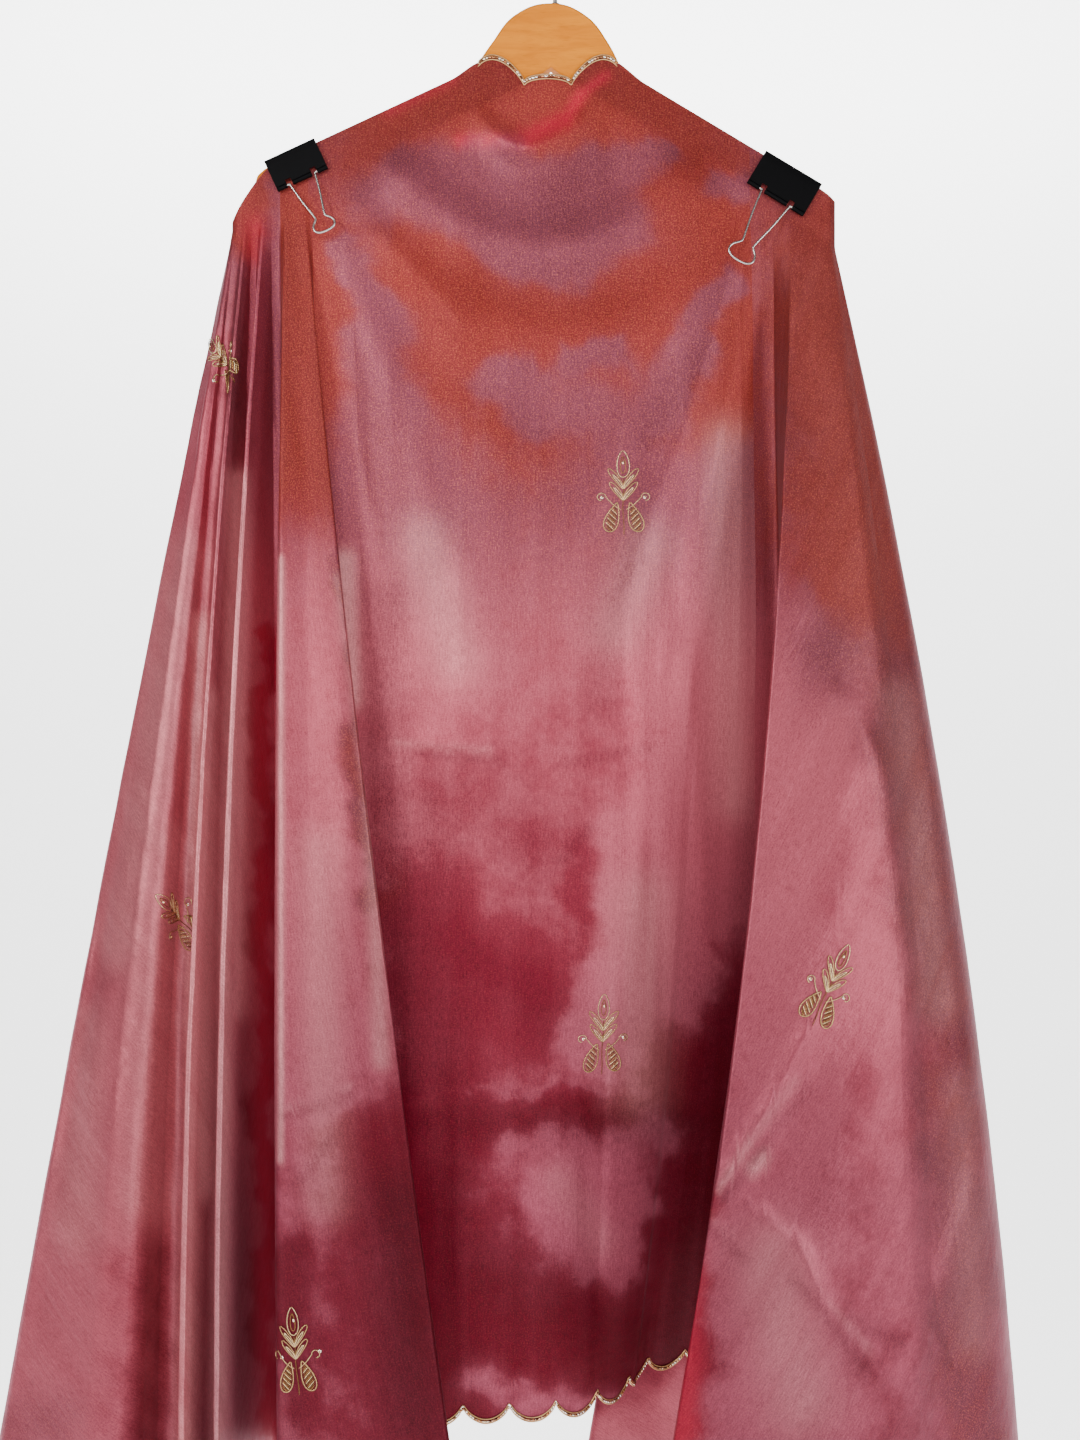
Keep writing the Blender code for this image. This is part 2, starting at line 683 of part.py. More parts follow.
def hem_band(name, columns, free_first, free_last):
    pairs = []
    for station in hem_stations(columns):
        if near_free_side(columns, station, free_first, free_last):
            continue
        inset = edge_inset(station[2])
        outer = hem_point(columns, station, inset)
        inner = hem_point(columns, station, inset + EDGING_WIDTH)
        pairs.append((inner, outer))
    for end, beside in ((0, 1), (-1, -2)):
        step = (pairs[beside][0] - pairs[end][0]).normalized() * (SEAM_GAP / 2)
        pairs[end] = (pairs[end][0] + step, pairs[end][1] + step)
    return band_mesh(name, band_normals(pairs))


def free_band(name, edge, inner):
    """Edging down a falling edge of the cloth, from below the arm to the cut's corner."""
    pitch = CLOTH_LENGTH / HEM_SCALLOPS
    end = edge.length - SCALLOP_DEPTH - 2 * EDGING_WIDTH
    steps = round((end - FREE_EDGING_START) / pitch) * SCALLOP_STEPS
    rows = row_distances(edge, WING_LEVELS, 0.0)
    corners = [edge.at(row) for row in rows]
    inner_rows = row_distances(inner, WING_LEVELS, 0.0)
    ways = [(inner.at(row) - corner).normalized() for row, corner in zip(inner_rows, corners)]
    pairs = []
    for k in range(steps + 1):
        row = FREE_EDGING_START + (end - FREE_EDGING_START) * k / steps
        run, share = row_share(rows, row)
        here = corners[run].lerp(corners[run + 1], share)
        inward = ways[run].lerp(ways[run + 1], share)
        lobe = SCALLOP_DEPTH * scallop(k / SCALLOP_STEPS) - 0.5 * SCALLOP_DEPTH
        inside = here + inward * EDGING_WIDTH
        outside = here - inward * max(0.0, lobe)
        pairs.append((inside, outside))
    return band_mesh(name, band_normals(pairs))


def neck_band(name, columns):
    pairs = []
    for ruling, place in columns:
        start = neck_start(ruling)
        if start is None:
            continue
        forward = Vector((0, -EDGE_STAND, 0))
        outer = panel_point(ruling, place, start) + forward
        inner = panel_point(ruling, place, start + EDGING_WIDTH) + forward
        pairs.append((inner, outer))
    return band_mesh(name, band_normals(pairs))


# ---------------------------------------------------------------- the strip folded over the arms
def flap_lines(side, first_x, last_x, steps):
    """For each line of the flap, its points from the arm's front over the top and down the rear."""
    slope = LEFT_SLOPE if side < 0 else RIGHT_SLOPE
    angle = math.atan(slope)
    inward = -side * math.sin(2 * angle)
    down = math.cos(2 * angle)
    lines = []
    for k in range(steps + 1):
        x = first_x + (last_x - first_x) * k / steps
        top = arm_top(x)
        fall = NECK_Z - top
        line = [Vector((x, CLOTH_STAND * y, top + z)) for y, z in FLAP_CREST]
        lines.append((line, Vector((inward, 0, -down)), fall))
    return lines


def flap_mesh(name, side, first_x, last_x):
    shape = bmesh.new()
    grid = []
    for line, direction, fall in flap_lines(side, first_x, last_x, FLAP_COLUMNS):
        end = max(LEAST_FLAP, fall - EDGING_WIDTH - EDGING_GAP)
        down = [line[-1] + direction * (end * (k + 1) / FLAP_ROWS) for k in range(FLAP_ROWS)]
        grid.append([shape.verts.new(p) for p in line + down])
    for one, two in zip(grid, grid[1:]):
        for k in range(len(one) - 1):
            shape.faces.new((one[k], one[k + 1], two[k + 1], two[k]))
    mesh = bpy.data.meshes.new(name)
    shape.to_mesh(mesh)
    shape.free()
    return mesh


def flap_band(name, side, first_x, last_x):
    pitch = CLOTH_LENGTH / HEM_SCALLOPS
    lines = flap_lines(side, first_x, last_x, FLAP_BAND_LINES)
    rearward = Vector((0, EDGE_STAND, 0))
    least = 2.5 * EDGING_WIDTH
    kept = [(line[-1] + rearward, direction, fall) for line, direction, fall in lines if fall > least]
    count = max(1, round(abs(kept[-1][0].x - kept[0][0].x) / pitch)) * SCALLOP_STEPS
    pairs = []
    for k in range(count + 1):
        index = round(k * (len(kept) - 1) / count)
        top, direction, fall = kept[index]
        inner = top + direction * (fall - EDGING_WIDTH)
        lobe = max(0.0, SCALLOP_DEPTH * scallop(k / SCALLOP_STEPS) - 0.5 * SCALLOP_DEPTH)
        pairs.append((inner, top + direction * (fall + lobe)))
    return band_mesh(name, band_normals(pairs))


# ---------------------------------------------------------------- hanger and hook
def hanger_outline():
    """Key points of the wooden hanger in X and Z, clockwise, each with its handle kind."""
    left, right = LEFT_TIP + TIP_HOLLOW, RIGHT_TIP - TIP_HOLLOW
    lift = WOOD_LIFT
    return [
        (left, arm_top(left) + lift - 0.004, "AUTO"),
        (left + 0.006, arm_top(left + 0.006) + lift, "VECTOR"),
        (NECK_LEFT - 0.004, arm_top(NECK_LEFT - 0.004) + lift, "VECTOR"),
        (-0.0475, -0.1050, "AUTO"),
        (-0.0300, -0.0838, "AUTO"),
        (-0.0030, DOME_TOP, "AUTO"),
        (0.0225, -0.0838, "AUTO"),
        (0.0400, -0.1050, "AUTO"),
        (NECK_RIGHT + 0.004, arm_top(NECK_RIGHT + 0.004) + lift, "VECTOR"),
        (right - 0.006, arm_top(right - 0.006) + lift, "VECTOR"),
        (right, arm_top(right) + lift - 0.004, "AUTO"),
        (right - 0.003, arm_top(right) - TIP_DEPTH, "AUTO"),
        (right - 0.016, arm_top(right - 0.016) - TIP_DEPTH - 0.002, "VECTOR"),
        (0.0650, arm_top(0.0650) - ARM_DEPTH, "AUTO"),
        (0.0098, -0.1262, "VECTOR"),
        (-0.0030, -0.1190, "VECTOR"),
        (-0.0225, -0.1305, "VECTOR"),
        (-0.0760, arm_top(-0.0760) - ARM_DEPTH, "AUTO"),
        (left + 0.016, arm_top(left + 0.016) - TIP_DEPTH - 0.002, "VECTOR"),
        (left + 0.003, arm_top(left) - TIP_DEPTH, "AUTO"),
    ]


def make_hanger(collection, material):
    curve = bpy.data.curves.new("hanger_wood", "CURVE")
    curve.dimensions = "2D"
    curve.fill_mode = "BOTH"
    curve.resolution_u = 3
    curve.extrude = HANGER_THICK / 2
    outline = hanger_outline()
    spline = curve.splines.new("BEZIER")
    spline.bezier_points.add(len(outline) - 1)
    spline.use_cyclic_u = True
    for point, (x, z, kind) in zip(spline.bezier_points, outline):
        point.co = (x, z, 0)
        point.handle_left_type = kind
        point.handle_right_type = kind
    made = bpy.data.objects.new("hanger_wood", curve)
    made.rotation_euler = (math.radians(90), 0, 0)
    collection.objects.link(made)
    solid = curve_to_mesh(made, collection, material)
    soften = solid.modifiers.new("soften", "BEVEL")
    soften.width = WOOD_EASE
    soften.segments = 1
    soften.angle_limit = math.radians(50)


def curve_to_mesh(made, collection, material):
    """The curve object as a welded mesh object of the same name and place."""
    bpy.context.view_layer.update()
    name = made.name
    made.name = name + "_guide"
    depsgraph = bpy.context.evaluated_depsgraph_get()
    mesh = bpy.data.meshes.new_from_object(made.evaluated_get(depsgraph))
    shape = bmesh.new()
    shape.from_mesh(mesh)
    bmesh.ops.remove_doubles(shape, verts=shape.verts[:], dist=0.00001)
    bmesh.ops.recalc_face_normals(shape, faces=shape.faces[:])
    shape.to_mesh(mesh)
    shape.free()
    mesh.materials.clear()
    solid = add_object(name, mesh, material, collection)
    solid.matrix_world = made.matrix_world.copy()
    bpy.data.objects.remove(made, do_unlink=True)
    return solid


def wire_curve(name, points, radius, sides, place, collection, material):
    """A round wire through the points, with closed ends, placed by a matrix."""
    curve = bpy.data.curves.new(name, "CURVE")
    curve.dimensions = "3D"
    curve.bevel_depth = radius
    curve.bevel_resolution = sides
    curve.use_fill_caps = True
    spline = curve.splines.new("POLY")
    spline.points.add(len(points) - 1)
    for corner, here in zip(spline.points, points):
        corner.co = (*here, 1)
    made = bpy.data.objects.new(name, curve)
    made.matrix_world = place
    collection.objects.link(made)
    return curve_to_mesh(made, collection, material)


def make_hook(collection, material):
    """Stem out of the dome, a short swing to the right and a round bend over the rail."""
    radius = HOOK_INSIDE + HOOK_WIRE
    centre = -HOOK_INSIDE
    points = [(0, 0, DOME_TOP + SEAM_GAP + k * 0.006) for k in range(3)]
    join = (radius * math.cos(HOOK_START), 0, centre + radius * math.sin(HOOK_START))
    points += arc_between(points[-1], join, 5)
    for k in range(1, HOOK_STEPS + 1):
        angle = HOOK_START + HOOK_SWEEP * k / HOOK_STEPS
        points.append((radius * math.cos(angle), 0, centre + radius * math.sin(angle)))
    wire_curve("hanger_hook", points, HOOK_WIRE, 2, Matrix(), collection, material)


def arc_between(one, two, steps):
    """A smooth S from going straight up at one to the hook's direction at two."""
    points = []
    lift = two[2] - one[2]
    for k in range(1, steps + 1):
        t = k / steps
        points.append((two[0] * smooth(t) * (0.6 + 0.4 * t), 0, one[2] + lift * t))
    return points


# ---------------------------------------------------------------- binder clips
def clip_frame(x):
    """The clip's own axes: X along the arm, Z square to it, origin on the arm's top."""
    slope = -LEFT_SLOPE if x < 0 else RIGHT_SLOPE
    angle = math.atan(slope)
    return Matrix.Translation((x, 0, arm_top(x))) @ Matrix.Rotation(angle, 4, "Y")


def add_box(shape, low, high):
    box = bmesh.ops.create_cube(shape, size=1.0)
    size = [b - a for a, b in zip(low, high)]
    centre = [(a + b) / 2 for a, b in zip(low, high)]
    bmesh.ops.scale(shape, vec=size, verts=box["verts"])
    bmesh.ops.translate(shape, vec=centre, verts=box["verts"])


def helper_object(name, shape, matrix, cutters):
    mesh = bpy.data.meshes.new(name)
    shape.to_mesh(mesh)
    shape.free()
    made = bpy.data.objects.new(name, mesh)
    made.matrix_world = matrix
    made.hide_render = True
    made.display_type = "WIRE"
    cutters.objects.link(made)
    return made


def curl_mesh(name, length, matrix, cutters, place):
    """A hollow rolled edge of the given length along X."""
    tube = bmesh.new()
    sides = 8
    rings = []
    for x in (-length / 2, length / 2):
        for radius in (CURL_RADIUS, CURL_BORE):
            ring = []
            for k in range(sides):
                angle = 2 * math.pi * (k + 0.5) / sides
                ring.append(tube.verts.new((x, radius * math.cos(angle), radius * math.sin(angle))))
            rings.append(ring)
    for one, two in ((0, 2), (3, 1), (1, 0), (2, 3)):
        for k in range(sides):
            n = (k + 1) % sides
            tube.faces.new((rings[one][k], rings[two][k], rings[two][n], rings[one][n]))
    bmesh.ops.recalc_face_normals(tube, faces=tube.faces[:])
    bmesh.ops.translate(tube, vec=place, verts=tube.verts[:])
    return helper_object(name, tube, matrix, cutters)


def clip_pieces(name, width, height, side, matrix, cutters):
    """A face of the clip and its rolled lower edge, which is left open round the handle's legs."""
    half, leg = width / 2, LEG_SHARE * width
    face_y = CURL_Y + CURL_LAP
    low, high = sorted((side * face_y, side * (face_y + CLIP_SHEET)))
    sheet = bmesh.new()
    add_box(sheet, (-half, low, FACE_END - height), (half, high, SPINE_LIFT + CLIP_SHEET / 2))
    pieces = [helper_object(name + "_face", sheet, matrix, cutters)]
    spans = ((-half, -leg - SLOT_HALF), (SLOT_HALF - leg, leg - SLOT_HALF), (leg + SLOT_HALF, half))
    for low_x, high_x in spans:
        place = ((low_x + high_x) / 2, side * CURL_Y, -height)
        pieces.append(curl_mesh(name + "_curl", high_x - low_x, matrix, cutters, place))
    return pieces


def clip_slots(name, width, height, side, matrix, cutters):
    """Cutters for the gaps in a face round the handle's two legs."""
    slots = []
    low, high = sorted((side * (CURL_Y - CURL_BORE), side * (CURL_Y + 2 * CURL_RADIUS)))
    for leg in (-LEG_SHARE * width, LEG_SHARE * width):
        notch = bmesh.new()
        add_box(notch, (leg - SLOT_HALF, low, -height), (leg + SLOT_HALF, high, SLOT_HEIGHT - height))
        slots.append(helper_object(name + "_slot", notch, matrix, cutters))
    return slots


def make_clip(row, collection, cutters, black, steel):
    name, x, width, height, length, neck, loop = row
    matrix = clip_frame(x)
    half_spine = CURL_Y + CURL_LAP + CLIP_SHEET
    spine = bmesh.new()
    add_box(spine, (-width / 2, -half_spine, SPINE_LIFT), (width / 2, half_spine, SPINE_LIFT + CLIP_SHEET))
    mesh = bpy.data.meshes.new(name + "_body")
    spine.to_mesh(mesh)
    spine.free()
    body = add_object(name + "_body", mesh, black, collection)
    body.matrix_world = matrix
    joined, cut = [], []
    for side in (-1, 1):
        joined += clip_pieces(name, width, height, side, matrix, cutters)
        cut += clip_slots(name, width, height, side, matrix, cutters)
    for operation, helpers in (("UNION", joined), ("DIFFERENCE", cut)):
        for helper in helpers:
            change = body.modifiers.new(operation.lower(), "BOOLEAN")
            change.operation = operation
            change.object = helper
    leg = LEG_SHARE * width
    points = [Vector((px, 0, -pz)) for px, pz in handle_path(leg, length, neck, loop)]
    for side, end, lean in ((-1, "front", FRONT_LEAN), (1, "rear", REAR_LEAN)):
        hinge = matrix @ Matrix.Translation((0, side * CURL_Y, -height))
        place = hinge @ Matrix.Rotation(side * lean, 4, "X")
        wire_curve(name + "_" + end + "_handle", points, WIRE_RADIUS, 1, place, collection, steel)


def handle_path(leg, length, neck, loop):
    """Half a binder clip's wire handle and its mirror image, from pivot end to pivot end."""
    half = [
        (leg + PIVOT_LENGTH, 0.0), (leg + 0.0012, 0.0), (leg + 0.0002, 0.0005), (leg, 0.0018),
        (leg * 0.55 + neck * 0.225, length * 0.38), (neck / 2, length * 0.70), (neck * 0.56, length * 0.76),
        (loop * 0.44, length * 0.83), (loop / 2, length * 0.90), (loop * 0.44, length * 0.955),
        (loop * 0.26, length * 0.99), (0.0, length),
    ]
    return [(-x, z) for x, z in half[:-1]] + [(0.0, length)] + [(x, z) for x, z in reversed(half[:-1])]


# ---------------------------------------------------------------- the whole
def wing_point(ruling, place, distance):
    return ruling.at(distance)


def build():
    clear_scene()
    collection = bpy.data.collections.new("dupatta_stole")
    cutters = bpy.data.collections.new("cutters")
    bpy.context.scene.collection.children.link(collection)
    bpy.context.scene.collection.children.link(cutters)
    finish = {name: make_material(name) for name in FINISHES}
    make_hanger(collection, finish["wood"])
    make_hook(collection, finish["steel"])
    for row in CLIPS:
        make_clip(row, collection, cutters, finish["black"], finish["steel"])
    columns = drape()
    end = columns[-1][1]
    for node, first, last in STRETCHES:
        part = stretch(columns, first, last)
        panel = node == "front_panel"
        levels = PANEL_LEVELS if panel else WING_LEVELS
        point_of = panel_point if panel else wing_point
        mesh = wall_mesh(node, part, levels, point_of, first <= 0, last >= end)
        thicken(add_object(node, mesh, finish["cloth"], collection), WALL)
        band = hem_band(node + "_edging", part, first <= 0, last >= end)
        add_object(node + "_edging", band, finish["edging"], collection)
        if panel:
            add_object("neck_edging", neck_band("neck_edging", part), finish["edging"], collection)
        if first <= 0:
            mesh = free_band("left_fall_edging", part[0][0], part[1][0])
            add_object("left_fall_edging", mesh, finish["edging"], collection)
        if last >= end:
            mesh = free_band("right_fall_edging", part[-1][0], part[-2][0])
            add_object("right_fall_edging", mesh, finish["edging"], collection)
    left_end = shoulder_point(-1, LEFT_FOLDS[-1][1]).x + 0.002
    right_end = shoulder_point(1, RIGHT_FOLDS[-1][1]).x - 0.002
    for side, name, first_x, last_x in (
        (-1, "left_neck_flap", NECK_LEFT - 0.006, left_end),
        (1, "right_neck_flap", NECK_RIGHT + 0.005, right_end),
    ):
        thicken(add_object(name, flap_mesh(name, side, first_x, last_x), finish["cloth"], collection), WALL)
        band = flap_band(name + "_edging", side, first_x, last_x)
        add_object(name + "_edging", band, finish["edging"], collection)
    bpy.context.view_layer.update()


build()
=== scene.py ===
import bpy
import bmesh
import math
import numpy as np
from mathutils import Matrix, Vector


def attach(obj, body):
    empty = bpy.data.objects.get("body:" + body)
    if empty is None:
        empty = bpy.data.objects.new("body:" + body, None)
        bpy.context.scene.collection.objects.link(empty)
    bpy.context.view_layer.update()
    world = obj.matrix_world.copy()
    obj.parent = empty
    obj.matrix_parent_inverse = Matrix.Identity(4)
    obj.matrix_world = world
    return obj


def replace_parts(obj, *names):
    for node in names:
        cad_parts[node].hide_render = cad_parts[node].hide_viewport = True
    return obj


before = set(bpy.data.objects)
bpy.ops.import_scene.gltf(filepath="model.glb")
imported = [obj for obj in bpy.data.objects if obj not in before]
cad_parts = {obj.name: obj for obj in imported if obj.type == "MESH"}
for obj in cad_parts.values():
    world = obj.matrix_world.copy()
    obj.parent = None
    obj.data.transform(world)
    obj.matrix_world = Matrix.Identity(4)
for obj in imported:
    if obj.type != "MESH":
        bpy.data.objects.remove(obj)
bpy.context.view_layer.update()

# Dupatta stole hung by its long edge over a wooden hanger, with two binder clips.
# The cloth is one drape: lines fan out from the hanger's arms through two levels, and every thread of it
# has a place in the flat cut, which the colour, the border and the embroidery follow.

clothCut = {
    "length": 2.44,  # along the hung edge
    "width": 1.03,
    "stand": 0.0074,  # middle of the cloth off the hanger's middle
    "clipReach": 0.034,  # lies flat on the arm this far down
    "midZ": -0.68,
    "lowZ": -1.15,
    "longScallops": 68,
    "shortScallops": 29,
    "scallopDepth": 0.015,
    "scallopPower": 0.6,
    "rowPitch": 0.0047,
    "leastStep": 0.0009,  # along the hem, between one line and the next
}
longPitch = clothCut["length"] / clothCut["longScallops"]
shortPitch = clothCut["width"] / clothCut["shortScallops"]

hangerLines = {
    "neckZ": -0.125,
    "neckLeft": -0.058,
    "neckRight": 0.047,
    "neckLift": 0.0036,
    "neckDip": 0.0171,
    "neckScallops": 3,
    "neckWave": 0.010,
    "leftSlope": 0.466,
    "rightSlope": 0.600,
    "leftTip": -0.235,
    "rightTip": 0.205,
    "leftFirst": -0.160,
    "rightFirst": 0.130,
}

# name, start, mid x, mid y, low x, low y, round
panelFolds = [
    ("tuck", -0.180, -0.163, 0.012, -0.140, 0.040, 0.030),
    ("leftPlain", -0.110, -0.106, 0.000, -0.095, 0.030, 0.030),
    ("middle", -0.040, -0.040, -0.006, -0.040, 0.034, 0.030),
    ("rightPlain", 0.020, 0.018, -0.002, 0.012, 0.042, 0.030),
    ("rightBend", 0.080, 0.074, 0.006, 0.050, 0.066, 0.030),
    ("recess", 0.130, 0.124, 0.028, 0.081, 0.116, 0.030),
    ("hollow", 0.160, 0.182, 0.058, 0.226, 0.130, 0.040),
]
leftFolds = [
    ("flapEdge", 0.028, -0.1376, -0.030, -0.074, -0.045, 0.007),
    ("flapSide", 0.041, -0.2034, -0.030, -0.198, -0.045, 0.012),
    ("deepOne", 0.049, -0.2130, 0.066, -0.220, 0.130, 0.060),
    ("ridgeTwo", 0.057, -0.2389, -0.035, -0.2434, -0.055, 0.026),
    ("deepTwo", 0.063, -0.2440, 0.060, -0.250, 0.118, 0.062),
    ("ridgeThree", 0.070, -0.2585, -0.036, -0.2690, -0.052, 0.016),
    ("deepThree", 0.076, -0.2700, 0.004, -0.287, 0.030, 0.050),
    ("outer", 0.083, -0.2920, -0.022, -0.325, -0.030, 0.030),
    ("outline", 0.0885, -0.3337, 0.010, -0.4241, 0.020, 0.024),
    ("rearTurn", 0.104, -0.3120, 0.058, -0.385, 0.082, 0.050),
    ("rearRidge", 0.118, -0.2250, 0.092, -0.220, 0.164, 0.060),
    ("rearEdge", 0.132, -0.3100, 0.118, -0.385, 0.190, 0.030),
]
rightFolds = [
    ("wingEdge", 0.046, 0.1449, -0.060, 0.0719, -0.100, 0.005),
    ("wingMiddle", 0.073, 0.2280, -0.050, 0.2200, -0.076, 0.060),
    ("outline", 0.0885, 0.2937, 0.000, 0.3480, 0.000, 0.050),
    ("rearTurn", 0.104, 0.2860, 0.076, 0.3460, 0.140, 0.050),
    ("rearOne", 0.117, 0.1100, 0.100, 0.0300, 0.174, 0.070),
    ("rearTwo", 0.129, 0.2100, 0.128, 0.2500, 0.200, 0.064),
    ("rearThree", 0.141, 0.1380, 0.154, 0.1000, 0.224, 0.054),
    ("rearEdge", 0.152, 0.1960, 0.174, 0.2260, 0.244, 0.030),
]

# each piece of cloth with its first and last place in the joined tables
clothPieces = [
    ("leftBackFall", "left_back_fall", 0.0, 2.5),
    ("leftWing", "left_wing", 2.5, 9.5),
    ("leftFlap", "left_flap", 9.5, 11.5),
    ("frontPanel", "front_panel", 11.5, 17.5),
    ("rightWing", "right_wing", 17.5, 22.5),
    ("rightBackFall", "right_back_fall", 22.5, 26.0),
]
panelFirst, panelLast = clothPieces[3][2:]


def armTop(x):
    line = hangerLines
    if x < line["neckLeft"]:
        return line["neckZ"] + (x - line["neckLeft"]) * line["leftSlope"]
    if x > line["neckRight"]:
        return line["neckZ"] - (x - line["neckRight"]) * line["rightSlope"]
    return line["neckZ"]


def smooth(value):
    value = np.clip(value, 0.0, 1.0)
    return value * value * (3 - 2 * value)


def unit(vectors):
    return vectors / np.maximum(1e-12, np.linalg.norm(vectors, axis=-1))[..., None]


def shoulderPoint(side, start):
    first, tip = (hangerLines["leftFirst"], hangerLines["leftTip"])
    if side > 0:
        first, tip = (hangerLines["rightFirst"], hangerLines["rightTip"])
    stand = clothCut["stand"]
    run, turn = abs(tip - first), math.pi * stand
    if start <= run:
        x, y = first + side * start, -stand
    elif start <= run + turn:
        angle = (start - run) / stand
        x, y = tip + side * stand * math.sin(angle), -stand * math.cos(angle)
    else:
        x, y = tip - side * (start - run - turn), stand
    return np.array((x, y, armTop(x)))


def tableLine(side, row):
    # a line of the drape as three points in one row: at the arm, at midZ and at lowZ
    top = shoulderPoint(side, row[1])
    if side == 0:
        top = np.array((row[1], -clothCut["stand"], armTop(row[1])))
    return np.array((top, (row[2], row[3], clothCut["midZ"]), (row[4], row[5], clothCut["lowZ"])))


def cornerShares(before, fold, after, steps=14):
    # shares of both neighbouring lines in each line round a fold's crest, and how far the crest moves out
    one, two = before[2] - fold[2], after[2] - fold[2]
    cosine = one.dot(two) / np.linalg.norm(one) / np.linalg.norm(two)
    half = min(math.radians(78), math.acos(max(-1.0, min(1.0, cosine))) / 2)
    shares = []
    for k in range(steps + 1):
        angle = (2 * k / steps - 1) * (math.pi / 2 - half)
        even = (1 - math.sin(half) * math.cos(angle)) / (2 * math.cos(half) ** 2)
        odd = math.sin(angle) / (2 * math.cos(half))
        shares.append((even - odd, even + odd))
    return shares, 0.5 / (1 + math.sin(half))


def roundedDrape():
    rows = [(-1, row) for row in reversed(leftFolds)]
    rows += [(0, row) for row in panelFolds]
    rows += [(1, row) for row in rightFolds]
    lines = [tableLine(side, row) for side, row in rows]
    rounds = [row[-1] for _, row in rows]
    gaps = [np.linalg.norm(two[2] - one[2]) for one, two in zip(lines, lines[1:])]
    result = [(lines[0], 0.0)]
    for k in range(1, len(lines) - 1):
        before = min(0.45, rounds[k] / gaps[k - 1])
        after = min(0.45, rounds[k] / gaps[k])
        shares, shift = cornerShares(lines[k - 1], lines[k], lines[k + 1])
        crest = lines[k].copy()
        crest[1:] -= shift * (before * (lines[k - 1] - lines[k]) + after * (lines[k + 1] - lines[k]))[1:]
        for one, two in shares:
            one, two = one * before, two * after
            mixed = (1 - one - two) * crest + one * lines[k - 1] + two * lines[k + 1]
            result.append((mixed, k - one + two))
    result.append((lines[-1], len(lines) - 1.0))
    return result


def fillBetween(rows, pieces=6):
    # extra lines on the straight stretches between folds
    lines, places = [rows[0][0]], [rows[0][1]]
    for (one, placeOne), (two, placeTwo) in zip(rows, rows[1:]):
        count = pieces if placeTwo - placeOne > 0.1 else 1
        for k in range(1, count + 1):
            lines.append(one + (two - one) * k / count)
            places.append(placeOne + (placeTwo - placeOne) * k / count)
    return np.array(lines), np.array(places)


def thirdCorner(one, two, fromOne, fromTwo, side):
    base = np.linalg.norm(two - one)
    onBase = (fromOne**2 - fromTwo**2 + base**2) / (2 * base)
    height = math.sqrt(max(0.0, fromOne**2 - onBase**2))
    direction = (two - one) / base
    return one + direction * onBase + np.array((direction[1], -direction[0])) * side * height


def unroll(lines, start):
    # lays the lines flat, one after another from the one at index start
    count = len(lines)
    flat, heading = np.zeros((count, 2)), np.zeros((count, 2))
    flat[start] = (lines[start][0][0], hangerLines["neckZ"] - lines[start][0][2])
    heading[start] = (0, 1)
    for step in (1, -1):
        k = start
        while 0 <= k + step < count:
            known, following = lines[k], lines[k + step]
            end = flat[k] + heading[k] * np.linalg.norm(known[2] - known[0])
            fromTop = np.linalg.norm(following[0] - known[0])
            fromLow = np.linalg.norm(following[0] - known[2])
            top = thirdCorner(flat[k], end, fromTop, fromLow, step)
            fromTop = np.linalg.norm(following[2] - following[0])
            fromLow = np.linalg.norm(following[2] - known[2])
            low = thirdCorner(top, end, fromTop, fromLow, step)
            k += step
            flat[k] = top
            heading[k] = (low - top) / np.linalg.norm(low - top)
    return flat, heading


def cutLength(flat, heading):
    reach = np.full(len(flat), 10.0)
    down = heading[:, 1] > 1e-6
    reach[down] = (clothCut["width"] - flat[down, 1]) / heading[down, 1]
    across = np.abs(heading[:, 0]) > 1e-6
    side = np.sign(heading[across, 0]) * clothCut["length"] / 2
    reach[across] = np.minimum(reach[across], (side - flat[across, 0]) / heading[across, 0])
    return reach


def edgeMark(flat, heading, length):
    # distance round the cut's edge from the middle of the hem
    end = flat + heading * length[:, None]
    half = clothCut["length"] / 2
    onHem = clothCut["width"] - end[:, 1] < half - np.abs(end[:, 0])
    return np.where(onHem, end[:, 0], np.sign(end[:, 0]) * (half + clothCut["width"] - end[:, 1]))


def scallopCount(mark):
    half = clothCut["length"] / 2
    hem = mark / longPitch
    beyond = (np.abs(mark) - half) / shortPitch
    side = np.sign(mark) * (clothCut["longScallops"] / 2 + beyond)
    return np.where(np.abs(mark) <= half, hem, side)


def scallopInset(mark):
    wave = np.abs(np.sin(math.pi * scallopCount(mark))) ** clothCut["scallopPower"]
    return clothCut["scallopDepth"] * (1 - wave)


